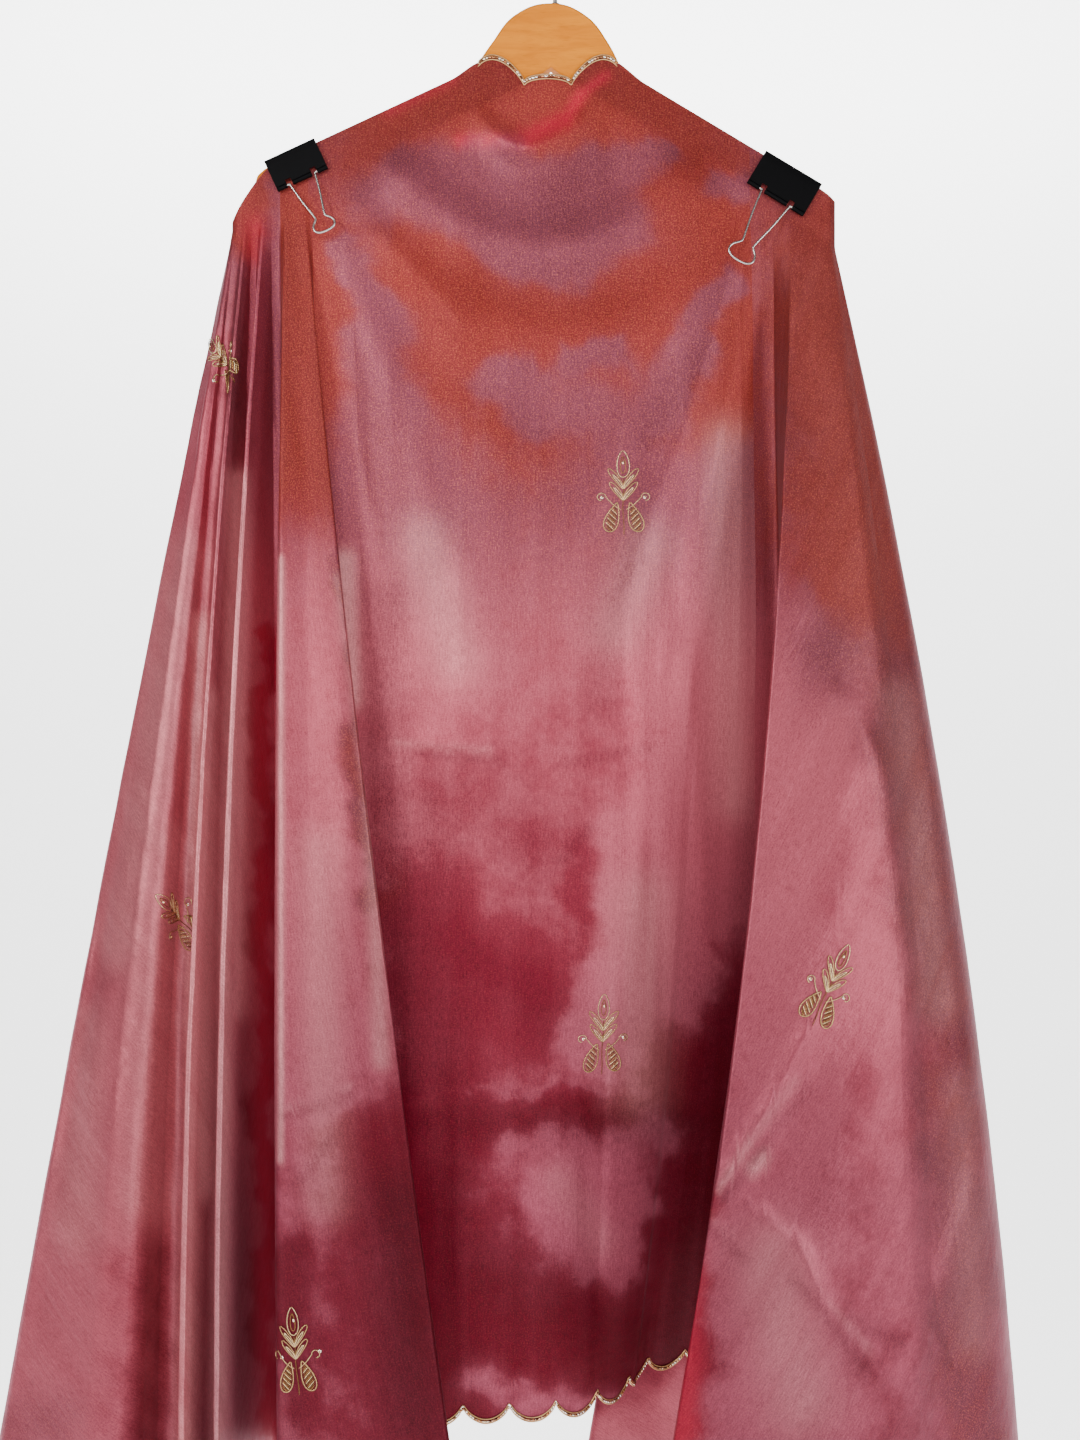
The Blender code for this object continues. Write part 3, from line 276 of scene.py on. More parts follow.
class Drape:
    # the whole cloth: lines at even steps along the hem and on the folds, each with its place in the flat cut
    def __init__(self):
        lines, places = fillBetween(roundedDrape())
        start = int(np.argmin(np.abs(places - (len(leftFolds) + 2))))
        flat, heading = unroll(lines, start)
        length = cutLength(flat, heading)
        marks = edgeMark(flat, heading, length)
        marks = np.maximum.accumulate(marks + np.arange(len(marks)) * 1e-9)
        pitch = longPitch / 8
        first, last = math.ceil(marks[0] / pitch), math.floor(marks[-1] / pitch)
        ends = [np.interp(place, places, marks) for piece in clothPieces for place in piece[2:]]
        kept = list(np.arange(first, last + 1) * pitch) + ends
        for mark in marks:
            if min(abs(mark - other) for other in kept) > clothCut["leastStep"]:
                kept.append(mark)
        self.marks = np.unique(np.round(kept, 7))
        at = np.interp(self.marks, marks, np.arange(len(marks)))
        index = np.minimum(at.astype(int), len(marks) - 2)
        share = at - index

        def mixed(values):
            part = share.reshape((-1,) + (1,) * (values.ndim - 1))
            return values[index] * (1 - part) + values[index + 1] * part

        self.lines, self.places, self.flat = mixed(lines), mixed(places), mixed(flat)
        self.heading = mixed(heading)
        self.heading /= np.linalg.norm(self.heading, axis=1)[:, None]
        self.length = cutLength(self.flat, self.heading)

    def onPanel(self, margin):
        # which lines are the front panel's, with a margin on both sides
        return (self.places > panelFirst - margin) & (self.places < panelLast + margin)

    def sample(self, values, column):
        index = np.clip(column.astype(int), 0, len(self.places) - 2)
        part = (column - index).reshape(column.shape + (1,) * (values.ndim - 1))
        return values[index] * (1 - part) + values[index + 1] * part

    def plain(self, column, distance):
        # points of the smooth drape, before swags and creases
        line = self.sample(self.lines, column)
        top, mid, low = line[..., 0, :], line[..., 1, :], line[..., 2, :]
        full = top[..., 2] - clothCut["lowZ"]
        drop = distance * full / np.linalg.norm(low - top, axis=-1)
        kept = clothCut["clipReach"]
        share = np.maximum(0.0, drop - kept) / (full - kept)
        middle = (top[..., 2] - kept - clothCut["midZ"]) / (full - kept)
        result = np.empty(top.shape)
        for axis in (0, 1):
            first, last = top[..., axis], low[..., axis]
            bow = (mid[..., axis] - first - (last - first) * middle) / (middle * (1 - middle))
            inside = first + (last - first) * share + bow * share * (1 - share)
            beyond = last + (last - first - bow) * (share - 1)
            result[..., axis] = np.where(share <= 1, inside, beyond)
        result[..., 2] = top[..., 2] - drop
        return result

    def normal(self, column, distance):
        step = 0.002
        down = self.plain(column, distance + step) - self.plain(column, distance - step)
        reach = 0.35
        left = np.clip(column - reach, 0, len(self.places) - 1)
        right = np.clip(column + reach, 0, len(self.places) - 1)
        across = self.plain(right, distance) - self.plain(left, distance)
        return unit(np.cross(down, across))

    def cut(self, column, distance):
        # place in the flat cut
        return self.sample(self.flat, column) + self.sample(self.heading, column) * distance[..., None]

    def find(self, u, v):
        # the column and distance of places in the flat cut
        u, v = np.atleast_1d(u), np.atleast_1d(v)
        column, distance = np.empty(len(u)), np.empty(len(u))
        for k, point in enumerate(np.stack((u, v), axis=-1)):
            away = point - self.flat
            turn = self.heading[:, 0] * away[:, 1] - self.heading[:, 1] * away[:, 0]
            reach = (away * self.heading).sum(axis=1)
            ok = (turn[:-1] * turn[1:] <= 0) & (reach[:-1] > -0.02)
            hits = np.nonzero(ok)[0]
            if len(hits) == 0:
                hits = [int(np.argmin(np.abs(turn[:-1]) + (reach[:-1] < -0.02)))]
            i = hits[0]
            share = turn[i] / (turn[i] - turn[i + 1]) if turn[i] != turn[i + 1] else 0.0
            column[k] = i + min(1.0, max(0.0, share))
            distance[k] = reach[i] * (1 - share) + reach[i + 1] * share
        return column, distance

    def point(self, column, distance):
        # the finished surface and its normal
        base = self.plain(column, distance)
        normal = self.normal(column, distance)
        place = self.sample(self.places, column)
        cut = self.cut(column, distance)
        facing = 1 - 0.85 * smooth(np.abs(normal[..., 0]) * 1.3 - 0.3)  # outlines stay calm
        return base + normal * (relief(base, cut, place, distance) * facing)[..., None], normal


# swags of slack cloth under the neck: left end, lowest point, right end, bulge, half width, in metres
swags = [
    ("collar", -0.060, -0.150, -0.022, -0.186, 0.038, -0.128, 0.0080, 0.010),
    ("upper", -0.130, -0.190, -0.010, -0.262, 0.120, -0.190, 0.0052, 0.022),
    ("middle", -0.150, -0.230, 0.005, -0.330, 0.140, -0.240, 0.0044, 0.026),
    ("lower", -0.150, -0.300, 0.010, -0.430, 0.135, -0.320, 0.0038, 0.030),
]


def swagBulge(x, z):
    total = np.zeros(x.shape)
    for _, leftX, leftZ, lowX, lowZ, rightX, rightZ, bulge, half in swags:
        endX = np.where(x < lowX, leftX, rightX)
        endZ = np.where(x < lowX, leftZ, rightZ)
        share = (x - lowX) / (endX - lowX)
        line = lowZ + (endZ - lowZ) * share * share
        slope = 2 * (endZ - lowZ) * share / (endX - lowX)
        away = (z - line) / np.sqrt(1 + slope * slope)
        total += bulge * np.exp(-((away / half) ** 2)) * smooth((1.25 - share) / 0.4)
    return total


# creases placed one by one on each piece: a line in x and z, height out of the cloth and width
creases = {
    # x and z of one end, x and z of the other, height, width
    "frontPanel": [
        (-0.101, -0.629, -0.020, -0.636, 0.0026, 0.007), (-0.020, -0.636, 0.064, -0.644, -0.0022, 0.006),
        (-0.020, -0.628, 0.075, -0.652, 0.0010, 0.011), (-0.150, -0.905, -0.096, -0.893, 0.0028, 0.007),
        (-0.096, -0.893, 0.020, -0.902, 0.0028, 0.008), (0.000, -0.908, 0.104, -0.918, -0.0016, 0.006),
        (0.131, -0.273, 0.049, -0.520, 0.0042, 0.016), (0.105, -0.262, 0.020, -0.470, -0.0030, 0.014),
        (0.148, -0.300, 0.080, -0.600, -0.0030, 0.014), (-0.165, -0.250, -0.056, -0.550, 0.0045, 0.024),
        (-0.172, -0.300, -0.100, -0.640, -0.0030, 0.016), (-0.130, -0.250, -0.060, -0.330, 0.0034, 0.014),
        (0.090, -0.500, 0.120, -0.800, 0.0030, 0.012), (0.060, -0.560, 0.088, -0.860, -0.0028, 0.014),
        (-0.115, -0.640, -0.110, -1.100, 0.0026, 0.020), (0.020, -0.930, 0.045, -1.120, -0.0024, 0.014),
        (-0.070, -0.960, -0.050, -1.130, 0.0022, 0.018),
    ],
    "rightWing": [
        (0.180, -0.820, 0.148, -0.878, 0.0036, 0.007), (0.148, -0.878, 0.113, -0.933, 0.0046, 0.007),
        (0.133, -0.950, 0.170, -0.978, 0.0030, 0.006), (0.170, -0.978, 0.186, -1.020, 0.0028, 0.007),
        (0.186, -1.020, 0.239, -1.080, 0.0024, 0.008), (0.203, -0.590, 0.234, -0.647, 0.0030, 0.014),
        (0.234, -0.647, 0.246, -0.750, 0.0034, 0.016), (0.246, -0.750, 0.253, -0.971, 0.0036, 0.018),
        (0.253, -0.971, 0.254, -1.120, 0.0030, 0.018), (0.274, -1.034, 0.292, -1.078, -0.0022, 0.007),
        (0.184, -0.251, 0.175, -0.341, 0.0012, 0.003), (0.195, -0.307, 0.190, -0.344, 0.0012, 0.003),
        (0.205, -0.330, 0.235, -0.560, 0.0030, 0.014),
    ],
    "leftFlap": [
        (-0.193, -0.955, -0.150, -0.905, 0.0020, 0.007), (-0.200, -0.970, -0.120, -1.050, -0.0018, 0.008),
        (-0.165, -0.300, -0.150, -0.760, 0.0026, 0.014), (-0.185, -0.420, -0.178, -1.100, -0.0022, 0.012),
    ],
    "leftWing": [
        (-0.270, -0.330, -0.345, -0.900, 0.0024, 0.014), (-0.300, -0.520, -0.395, -1.080, -0.0024, 0.016),
    ],
    "leftBackFall": [
        (-0.330, -0.620, -0.270, -0.700, 0.0024, 0.010), (-0.340, -0.900, -0.250, -0.940, -0.0022, 0.012),
    ],
    "rightBackFall": [
        (0.120, -0.560, 0.200, -0.620, 0.0024, 0.010), (0.090, -0.880, 0.210, -0.930, -0.0022, 0.012),
    ],
}

# soft unevenness all over, as waves in the flat cut: turns per metre along u and v, offset, height
unevenness = [
    (7.3, 0.35, 0.4, 0.0013),
    (12.7, -0.8, 1.9, 0.0008),
    (22.7, 1.2, 4.1, 0.00040),
    (37.0, -1.9, 2.6, 0.00018),
    (4.1, 3.3, 0.9, 0.0008),
    (6.3, -6.1, 5.0, 0.0004),
    (17.0, 11.7, 3.3, 0.00016),
]


reliefFade = {
    "hungFrom": 0.030,  # waves and creases start this far below the arm
    "hungRun": 0.07,
    "swagFrom": 0.012,
    "swagRun": 0.05,
    "panelRun": 1.4,  # swags fade in over this many folds from the panel's sides
    "creaseRun": 0.25,
}


def relief(point, cut, place, distance):
    # how far the cloth stands out of the smooth drape, along its normal
    x, z = point[..., 0], point[..., 2]
    u, v = cut[..., 0], cut[..., 1]
    fade = reliefFade
    hung = smooth((distance - fade["hungFrom"]) / fade["hungRun"])
    onPanel = smooth((place - panelFirst) / fade["panelRun"]) * smooth((panelLast - place) / fade["panelRun"])
    total = swagBulge(x, z) * onPanel * smooth((distance - fade["swagFrom"]) / fade["swagRun"])
    for turnsU, turnsV, offset, height in unevenness:
        bent = 1.1 * np.sin(2 * math.pi * (0.9 * u + 1.7 * v) + offset)
        bent = bent + 0.8 * np.sin(2 * math.pi * 2.3 * u - offset)
        slack = 0.55 + 0.45 * np.sin(2 * math.pi * (1.3 * u - 2.1 * v) + 2.7 * offset)
        total += height * hung * slack * np.sin(2 * math.pi * (turnsU * u + turnsV * v) + offset + bent)
    for name, rows in creases.items():
        low, high = creaseRange[name]
        near = smooth((place - low) / fade["creaseRun"]) * smooth((high - place) / fade["creaseRun"])
        for x0, z0, x1, z1, height, width in rows:
            alongX, alongZ = x1 - x0, z1 - z0
            size = math.hypot(alongX, alongZ)
            share = ((x - x0) * alongX + (z - z0) * alongZ) / size**2
            away = ((x - x0) * alongZ - (z - z0) * alongX) / size
            ends = smooth((share + 0.2) / 0.35) * smooth((1.2 - share) / 0.35)
            total += height * near * hung * ends / (1 + (away / width) ** 2) ** 1.5
    return total


creaseRange = {name: (low, high) for name, _, low, high in clothPieces}
creaseRange["rightWing"] = (18.9, 22.0)  # only the layer that faces forwards
creaseRange["leftWing"] = (2.6, 4.6)
creaseRange["leftFlap"] = (9.9, 11.2)

drape = Drape()
print("drape: %d lines" % len(drape.places))


# shader tools
class Wire:
    # a socket that adds Math nodes when it is used in an expression
    def __init__(self, board, socket):
        self.board, self.socket = board, socket

    def math(self, operation, *others, clamp=False):
        settings = {"operation": operation, "use_clamp": clamp}
        return self.board.node("ShaderNodeMath", settings, dict(enumerate((self, *others))))

    def __add__(self, other):
        return self.math("ADD", other)

    def __sub__(self, other):
        return self.math("SUBTRACT", other)

    def __mul__(self, other):
        return self.math("MULTIPLY", other)

    __radd__, __rmul__ = __add__, __mul__

    def __rsub__(self, other):
        return self.board.node("ShaderNodeMath", {"operation": "SUBTRACT"}, {0: other, 1: self})

    def clamped(self):
        return self.math("ADD", 0.0, clamp=True)

    def eased(self, low, high):
        # 0 below low, 1 above high, and smooth between
        settings = {"interpolation_type": "SMOOTHSTEP"}
        return self.board.node("ShaderNodeMapRange", settings, {0: self, 1: low, 2: high, 3: 0.0, 4: 1.0})


class Board:
    # one material's nodes
    def __init__(self, name):
        self.material = bpy.data.materials.new(name)
        self.material.use_nodes = True
        self.tree = self.material.node_tree
        self.tree.nodes.clear()

    def node(self, kind, settings=None, sockets=None, out=0):
        made = self.tree.nodes.new(kind)
        for name, value in (settings or {}).items():
            if name == "stops":
                while len(made.color_ramp.elements) < len(value):
                    made.color_ramp.elements.new(0.5)
                for element, (position, colour) in zip(made.color_ramp.elements, value):
                    element.position = position
                    element.color = (*colour, 1)
            else:
                setattr(made, name, value)
        for name, value in (sockets or {}).items():
            if isinstance(value, Wire):
                self.tree.links.new(value.socket, made.inputs[name])
            else:
                made.inputs[name].default_value = value
        return Wire(self, made.outputs[out]) if len(made.outputs) else made

    def mix(self, share, one, two):
        one, two = (value if isinstance(value, Wire) else (*value, 1) for value in (one, two))
        return self.node("ShaderNodeMix", {"data_type": "RGBA"}, {0: share, 6: one, 7: two}, out=2)

    def noise(self, where, scale, detail=2.0, roughness=0.5, distortion=0.0):
        sockets = {"Vector": where, "Scale": scale, "Detail": detail, "Roughness": roughness}
        return self.node("ShaderNodeTexNoise", {}, {**sockets, "Distortion": distortion})

    def stretched(self, where, *scale):
        return self.node("ShaderNodeMapping", {}, {"Vector": where, "Scale": scale})

    def painted(self, name):
        # a value kept on the points of the mesh
        return self.node("ShaderNodeAttribute", {"attribute_name": name}, {}, out=2)

    def dimmed(self, colour, share):
        return self.node("ShaderNodeVectorMath", {"operation": "SCALE"}, {0: colour, 3: share})

    def ramp(self, stops, where):
        return self.node("ShaderNodeValToRGB", {"stops": stops}, {0: where})

    def cutPlace(self):
        # place in the flat cut, in metres
        return self.node("ShaderNodeUVMap", {"uv_map": "cut"})

    def objectPlace(self):
        return self.node("ShaderNodeTexCoord", {}, {}, out=3)

    def axes(self, where):
        return [self.node("ShaderNodeSeparateXYZ", {}, {0: where}, out=k) for k in range(3)]

    def bump(self, height, strength, distance):
        return self.node("ShaderNodeBump", {}, {"Height": height, "Strength": strength, "Distance": distance})

    def principled(self, sockets):
        return self.node("ShaderNodeBsdfPrincipled", {}, sockets)

    def finish(self, shader):
        self.node("ShaderNodeOutputMaterial", {}, {"Surface": shader})
        return self.material


def srgb(red, green, blue):
    # a colour given as it is seen, 0 to 255
    values = []
    for value in (red, green, blue):
        share = value / 255
        values.append(share / 12.92 if share <= 0.04045 else ((share + 0.055) / 1.055) ** 2.4)
    return tuple(values)


# tones of the cloth, placed one by one
# the view from in front, in a frame of 1080 by 1440
frontEye = (-0.01125, -1.15, -0.6105)
frontView = {"middleX": 540, "middleY": 720, "perMetre": 1333.04}  # on the plane of the hanger

# for each piece and tone: strength, then in the frame's units x and y of one end and of the other, half width
# all tones here but gold are painted light: painted sheen, painted shade, painted highlights and a painted
# crimson glow of light through folds
strokes = {
    "frontPanel": {
        "sheen": [
            (-0.85, 400, 110, 640, 110, 60), (-0.85, 650, 130, 750, 300, 70), (-0.85, 420, 280, 500, 320, 44),
            (-0.85, 500, 320, 700, 300, 52), (-0.80, 430, 380, 560, 480, 44), (-0.80, 650, 460, 750, 400, 56),
            (-0.60, 318, 230, 322, 430, 30), (0.75, 338, 240, 372, 330, 15), (0.80, 372, 330, 400, 430, 24),
            (0.75, 400, 182, 500, 188, 32), (0.75, 505, 190, 600, 235, 46), (0.70, 470, 205, 560, 258, 30),
            (0.55, 560, 172, 628, 166, 28), (0.80, 492, 362, 545, 410, 20), (0.80, 545, 416, 600, 424, 20),
            (0.70, 560, 362, 615, 362, 14), (0.65, 732, 278, 690, 345, 16), (0.70, 690, 345, 655, 400, 22),
            (0.70, 655, 400, 628, 452, 18), (0.60, 628, 452, 600, 560, 26), (0.50, 708, 178, 745, 188, 15),
            (0.50, 650, 166, 668, 160, 13), (0.55, 400, 470, 420, 640, 76), (0.40, 600, 600, 600, 720, 160),
            (-0.05, 590, 770, 590, 850, 140), (0.20, 470, 690, 480, 800, 60), (0.75, 706, 500, 720, 840, 60),
            (1.00, 420, 540, 470, 660, 34), (1.00, 660, 520, 620, 620, 26), (-0.60, 415, 900, 440, 1080, 42),
            (-1.00, 460, 950, 560, 985, 38), (-0.80, 470, 1015, 560, 1030, 28),
            (-0.80, 590, 846, 576, 905, 20), (0.70, 650, 840, 690, 880, 44), (0.75, 640, 900, 652, 1000, 42),
            (0.90, 604, 990, 600, 1090, 30), (0.45, 640, 1030, 640, 1104, 30),
            (-1.00, 400, 1120, 700, 1124, 28), (0.05, 470, 1086, 600, 1088, 7),
            (-0.95, 425, 1150, 455, 1400, 60), (-1.00, 490, 1345, 660, 1345, 62),
            (-1.00, 715, 1000, 680, 1400, 50), (0.15, 505, 1142, 560, 1150, 20),
            (0.35, 574, 1176, 602, 1212, 34), (0.65, 560, 1226, 600, 1256, 26),
            (-0.30, 500, 1190, 520, 1250, 18), (0.40, 620, 1150, 655, 1130, 24),
            (0.50, 640, 1198, 630, 1238, 18), (0.30, 482, 1384, 512, 1396, 18),
            (0.20, 530, 1412, 620, 1390, 14), (-0.1, 470, 790, 520, 840, 46), (0.65, 680, 800, 690, 870, 34),
            (0.5, 754, 470, 754, 690, 16), (0.60, 680, 920, 684, 1000, 26),
        ],
        "gold": [
            (1.0, 600, 330, 560, 200, 210), (1.0, 430, 150, 640, 130, 120), (0.35, 372, 600, 384, 900, 24),
        ],
        "dark": [
            (0.5, 590, 165, 560, 195, 44), (0.5, 705, 345, 650, 440, 18), (0.4, 640, 480, 600, 700, 22),
            (0.35, 754, 800, 736, 1000, 14), (0.5, 726, 1000, 670, 1400, 26), (0.75, 386, 600, 404, 1080, 26),
            (0.5, 430, 800, 440, 1080, 34), (0.5, 440, 1120, 452, 1400, 32), (0.45, 486, 1270, 630, 1340, 52),
            (0.3, 480, 280, 620, 300, 40), (0.55, 382, 751, 505, 760, 5), (0.45, 560, 765, 652, 747, 5),
            (0.6, 400, 1120, 720, 1126, 28), (0.35, 460, 950, 560, 1020, 40), (0.25, 470, 800, 530, 840, 50),
            (0.3, 690, 220, 720, 330, 40), (0.2, 470, 420, 560, 470, 50), (0.6, 610, 600, 640, 560, 9),
            (0.5, 560, 860, 588, 830, 8),
        ],
        "pale": [
            (0.45, 728, 440, 732, 800, 24), (0.8, 345, 560, 352, 700, 10), (0.35, 650, 545, 615, 630, 26),
            (0.4, 425, 540, 455, 660, 26), (0.2, 560, 1180, 600, 1240, 20), (0.20, 392, 743, 490, 751, 4),
            (0.3, 756, 500, 752, 690, 14), (0.45, 644, 900, 640, 1090, 32),
        ],
        "crimson": [
            (1.0, 462, 142, 520, 142, 8), (1.0, 520, 142, 566, 120, 9), (1.0, 566, 120, 582, 94, 6),
            (0.9, 582, 94, 606, 76, 5), (0.5, 388, 112, 452, 80, 6),
        ],
    },
    "leftFlap": {
        "sheen": [
            (-0.80, 290, 230, 300, 470, 60), (0.25, 300, 600, 320, 1070, 62),
            (0.20, 300, 1118, 332, 1176, 36), (0.20, 312, 1200, 350, 1228, 24),
            (-0.60, 290, 1250, 300, 1420, 16), (-1.00, 395, 1150, 420, 1400, 48),
            (-0.45, 350, 1270, 370, 1420, 36), (-0.40, 300, 1092, 350, 1082, 9),
            (-0.55, 352, 1240, 420, 1420, 30), (0.45, 312, 840, 324, 1080, 40),
        ],
        "gold": [
            (1.0, 290, 300, 290, 460, 60), (1.0, 342, 480, 368, 900, 13),
        ],
        "dark": [
            (0.4, 292, 1250, 296, 1430, 18), (0.5, 290, 240, 294, 460, 22), (0.6, 286, 1116, 350, 1096, 5),
            (0.5, 300, 1180, 330, 1140, 6), (0.6, 396, 1200, 410, 1420, 34), (0.35, 270, 260, 300, 470, 50),
        ],
        "pale": [
            (0.4, 340, 580, 370, 800, 8), (0.6, 370, 800, 382, 1060, 9), (0.9, 281, 560, 281, 1160, 4),
            (0.3, 286, 1108, 350, 1086, 4), (0.35, 318, 850, 326, 1200, 24),
        ],
    },
    "leftWing": {
        "sheen": [
            (0.70, 222, 500, 165, 760, 50), (0.75, 165, 760, 110, 1000, 56), (0.75, 110, 1000, 50, 1300, 50),
            (0.70, 60, 1300, 40, 1420, 40), (1.00, 240, 480, 222, 940, 16), (0.95, 222, 940, 219, 1440, 15),
            (0.95, 200, 660, 190, 1000, 13), (0.90, 190, 1000, 183, 1440, 11),
            (-0.60, 240, 230, 212, 330, 14), (-0.30, 150, 880, 140, 905, 12),
            (0.05, 140, 1140, 146, 1420, 46), (-0.60, 264, 640, 267, 1440, 12),
            (0.60, 224, 280, 228, 400, 14), (0.5, 238, 260, 232, 470, 14), (-0.55, 258, 176, 240, 236, 22),
            (0.85, 166, 860, 152, 1210, 34),
        ],
        "gold": [
            (0.7, 250, 240, 246, 440, 22), (0.5, 20, 1420, 60, 1430, 40), (1.0, 262, 172, 240, 240, 34),
        ],
        "pale": [
            (0.9, 238, 480, 224, 940, 12), (0.9, 224, 940, 219, 1440, 11), (0.9, 200, 620, 186, 1440, 12),
            (0.5, 180, 560, 120, 940, 34), (0.45, 168, 840, 152, 1200, 36), (0.80, 206, 700, 200, 1190, 17),
            (0.60, 242, 520, 238, 1010, 12), (0.35, 84, 1020, 76, 1230, 26),
        ],
        "crimson": [
            (0.7, 258, 230, 260, 640, 16), (0.7, 262, 640, 266, 1440, 16), (0.7, 208, 400, 200, 800, 6),
            (0.8, 200, 800, 182, 1440, 7), (0.6, 222, 340, 206, 480, 9), (0.6, 196, 420, 56, 1150, 7),
        ],
    },
    "rightWing": {
        "sheen": [
            (-0.15, 830, 260, 860, 600, 90), (0.25, 857, 720, 868, 900, 40), (0.60, 790, 700, 800, 1100, 62),
            (0.60, 870, 950, 850, 1100, 50), (0.66, 775, 1250, 790, 1440, 66),
            (0.30, 950, 1230, 985, 1440, 52), (0.05, 866, 1060, 872, 1440, 22),
            (-0.20, 820, 842, 828, 905, 17), (0.15, 925, 880, 945, 1120, 36),
            (-0.60, 690, 1200, 684, 1440, 20), (0.10, 925, 700, 935, 850, 38), (0.70, 800, 640, 790, 900, 38),
            (0.50, 920, 1180, 960, 1300, 44), (-0.75, 838, 250, 866, 560, 48),
        ],
        "gold": [
            (1.0, 830, 300, 850, 620, 90), (1.0, 890, 600, 935, 900, 52), (1.0, 944, 900, 975, 1440, 46),
        ],
        "dark": [
            (0.5, 838, 1330, 862, 1368, 12), (0.5, 850, 1318, 900, 1345, 9), (0.25, 840, 1200, 900, 1200, 30),
            (0.3, 950, 1300, 976, 1430, 30), (0.8, 726, 1196, 762, 1150, 5), (0.6, 762, 1150, 808, 1086, 5),
            (0.5, 702, 1220, 746, 1260, 5), (0.5, 792, 1276, 862, 1358, 5),
        ],
        "pale": [
            (0.8, 752, 1170, 764, 1156, 6), (0.12, 830, 290, 880, 700, 60), (0.5, 900, 700, 940, 1000, 26),
            (0.4, 770, 1260, 800, 1400, 40), (0.55, 719, 1188, 750, 1142, 4), (0.25, 750, 1142, 796, 1080, 5),
            (0.2, 706, 1212, 750, 1250, 4), (0.2, 800, 1270, 870, 1350, 5), (0.30, 964, 1090, 976, 1340, 24),
        ],
        "crimson": [
            (0.7, 690, 1200, 684, 1440, 18),
        ],
    },
}


def seenFromFront(points):
    # x and z at which a point is seen on the plane of the hanger
    scale = frontEye[1] / (frontEye[1] - points[..., 1])
    x = frontEye[0] + (points[..., 0] - frontEye[0]) * scale
    return x, frontEye[2] + (points[..., 2] - frontEye[2]) * scale


def onHangerPlane(x0, y0, x1, y1, half):
    # a stroke's x, z, x, z and half width in metres, to the nearest millimetre
    scale = frontView["perMetre"]
    ends = []
    for x, y in ((x0, y0), (x1, y1)):
        ends.append(round((x - frontView["middleX"]) / scale + frontEye[0], 3))
        ends.append(round((frontView["middleY"] - y) / scale + frontEye[2], 3))
    return (*ends, round(half / scale, 3))


# turns per metre and push of each wave
edgeWaves = [(7.0, 0.0060), (17.0, 0.0036), (41.0, 0.0020), (93.0, 0.0010)]


def bent(x, z):
    # places pushed about in several sizes of waves, so that no outline stays even
    for turns, push in edgeWaves:
        step = 2 * math.pi * turns
        moved = x + push * np.sin(step * (z + 0.31 * x) + turns)
        z = z + push * np.sin(step * (x * 0.9 - 0.27 * z) + 1.7 * turns)
        x = moved
    return x, z


def strokeAway(x, z, line):
    # distance from a stroke, as a share of its half width
    x0, z0, x1, z1, half = line
    alongX, alongZ = x1 - x0, z1 - z0
    share = np.clip(((x - x0) * alongX + (z - z0) * alongZ) / (alongX**2 + alongZ**2), 0, 1)
    return np.hypot(x - x0 - share * alongX, z - z0 - share * alongZ) / half


def cloudy(cut, turns, offset):
    u, v = cut[..., 0] * turns, cut[..., 1] * turns
    first = np.sin(2 * math.pi * (u + 0.6 * np.sin(4.1 * v + offset)) + offset)
    return first * np.sin(2 * math.pi * (0.7 * v + 0.5 * np.sin(3.3 * u - offset)) + 2 * offset)


# tones of painted light, kept as plain marks: painted shade, painted highlights and a painted crimson glow of
# light through folds
paintedLightTones = ("dark", "pale", "crimson")

# places between which a piece is seen from in front; the back falls are never seen
toneRange = {
    "leftWing": (2.9, 9.5),
    "leftFlap": (9.5, 11.5),
    "frontPanel": (11.5, 17.5),
    "rightWing": (17.5, 21.1),
    "leftBackFall": (40, 41),
    "rightBackFall": (40, 41),
}

# base level of painted sheen on each piece
toneBase = {"leftWing": 0.5, "leftFlap": 0.0, "frontPanel": 0.0, "rightWing": 0.1}


def clothTones(name, points, cut, place):
    # how much painted satin sheen, gold, painted shade, painted highlight and painted crimson glow each point
    # of a piece has; unseen parts get painted sheen in clouds
    x, z = seenFromFront(points)
    bentX, bentZ = bent(x, z)
    u, v = cut[..., 0], cut[..., 1]
    low, high = toneRange[name]
    front = smooth((place - low) / 0.4 + 1) * smooth((high - place) / 0.4 + 1)
    hidden = 0.35 + 1.0 * cloudy(cut, 2.6, 1.3) + 0.5 * cloudy(cut, 6.5, 0.4)
    level = np.full(x.shape, toneBase.get(name, 0.0))
    gold = (1 - smooth((v - 0.24) / 0.30)) * smooth((u + 0.50) / 0.34)
    marks = {tone: np.zeros(x.shape) for tone in paintedLightTones}
    for tone, rows in strokes.get(name, {}).items():
        for strength, *ends in rows:
            line = onHangerPlane(*ends)
            if tone == "sheen":
                level += (strength - level) * np.exp(-0.8 * strokeAway(bentX, bentZ, line) ** 2.4)
            elif tone == "gold":
                gold = np.maximum(gold, np.exp(-(strokeAway(bentX, bentZ, line) ** 2)) * 0.95 * strength)
            else:
                marks[tone] = np.maximum(marks[tone], strength * np.exp(-(strokeAway(x, z, line) ** 2)))
    tones = {tone: marks[tone] * front for tone in paintedLightTones}
    tones["sheen"] = 0.5 + 0.5 * np.clip(level * front + hidden * (1 - front), -1, 1)
    tones["gold"] = gold
    return tones


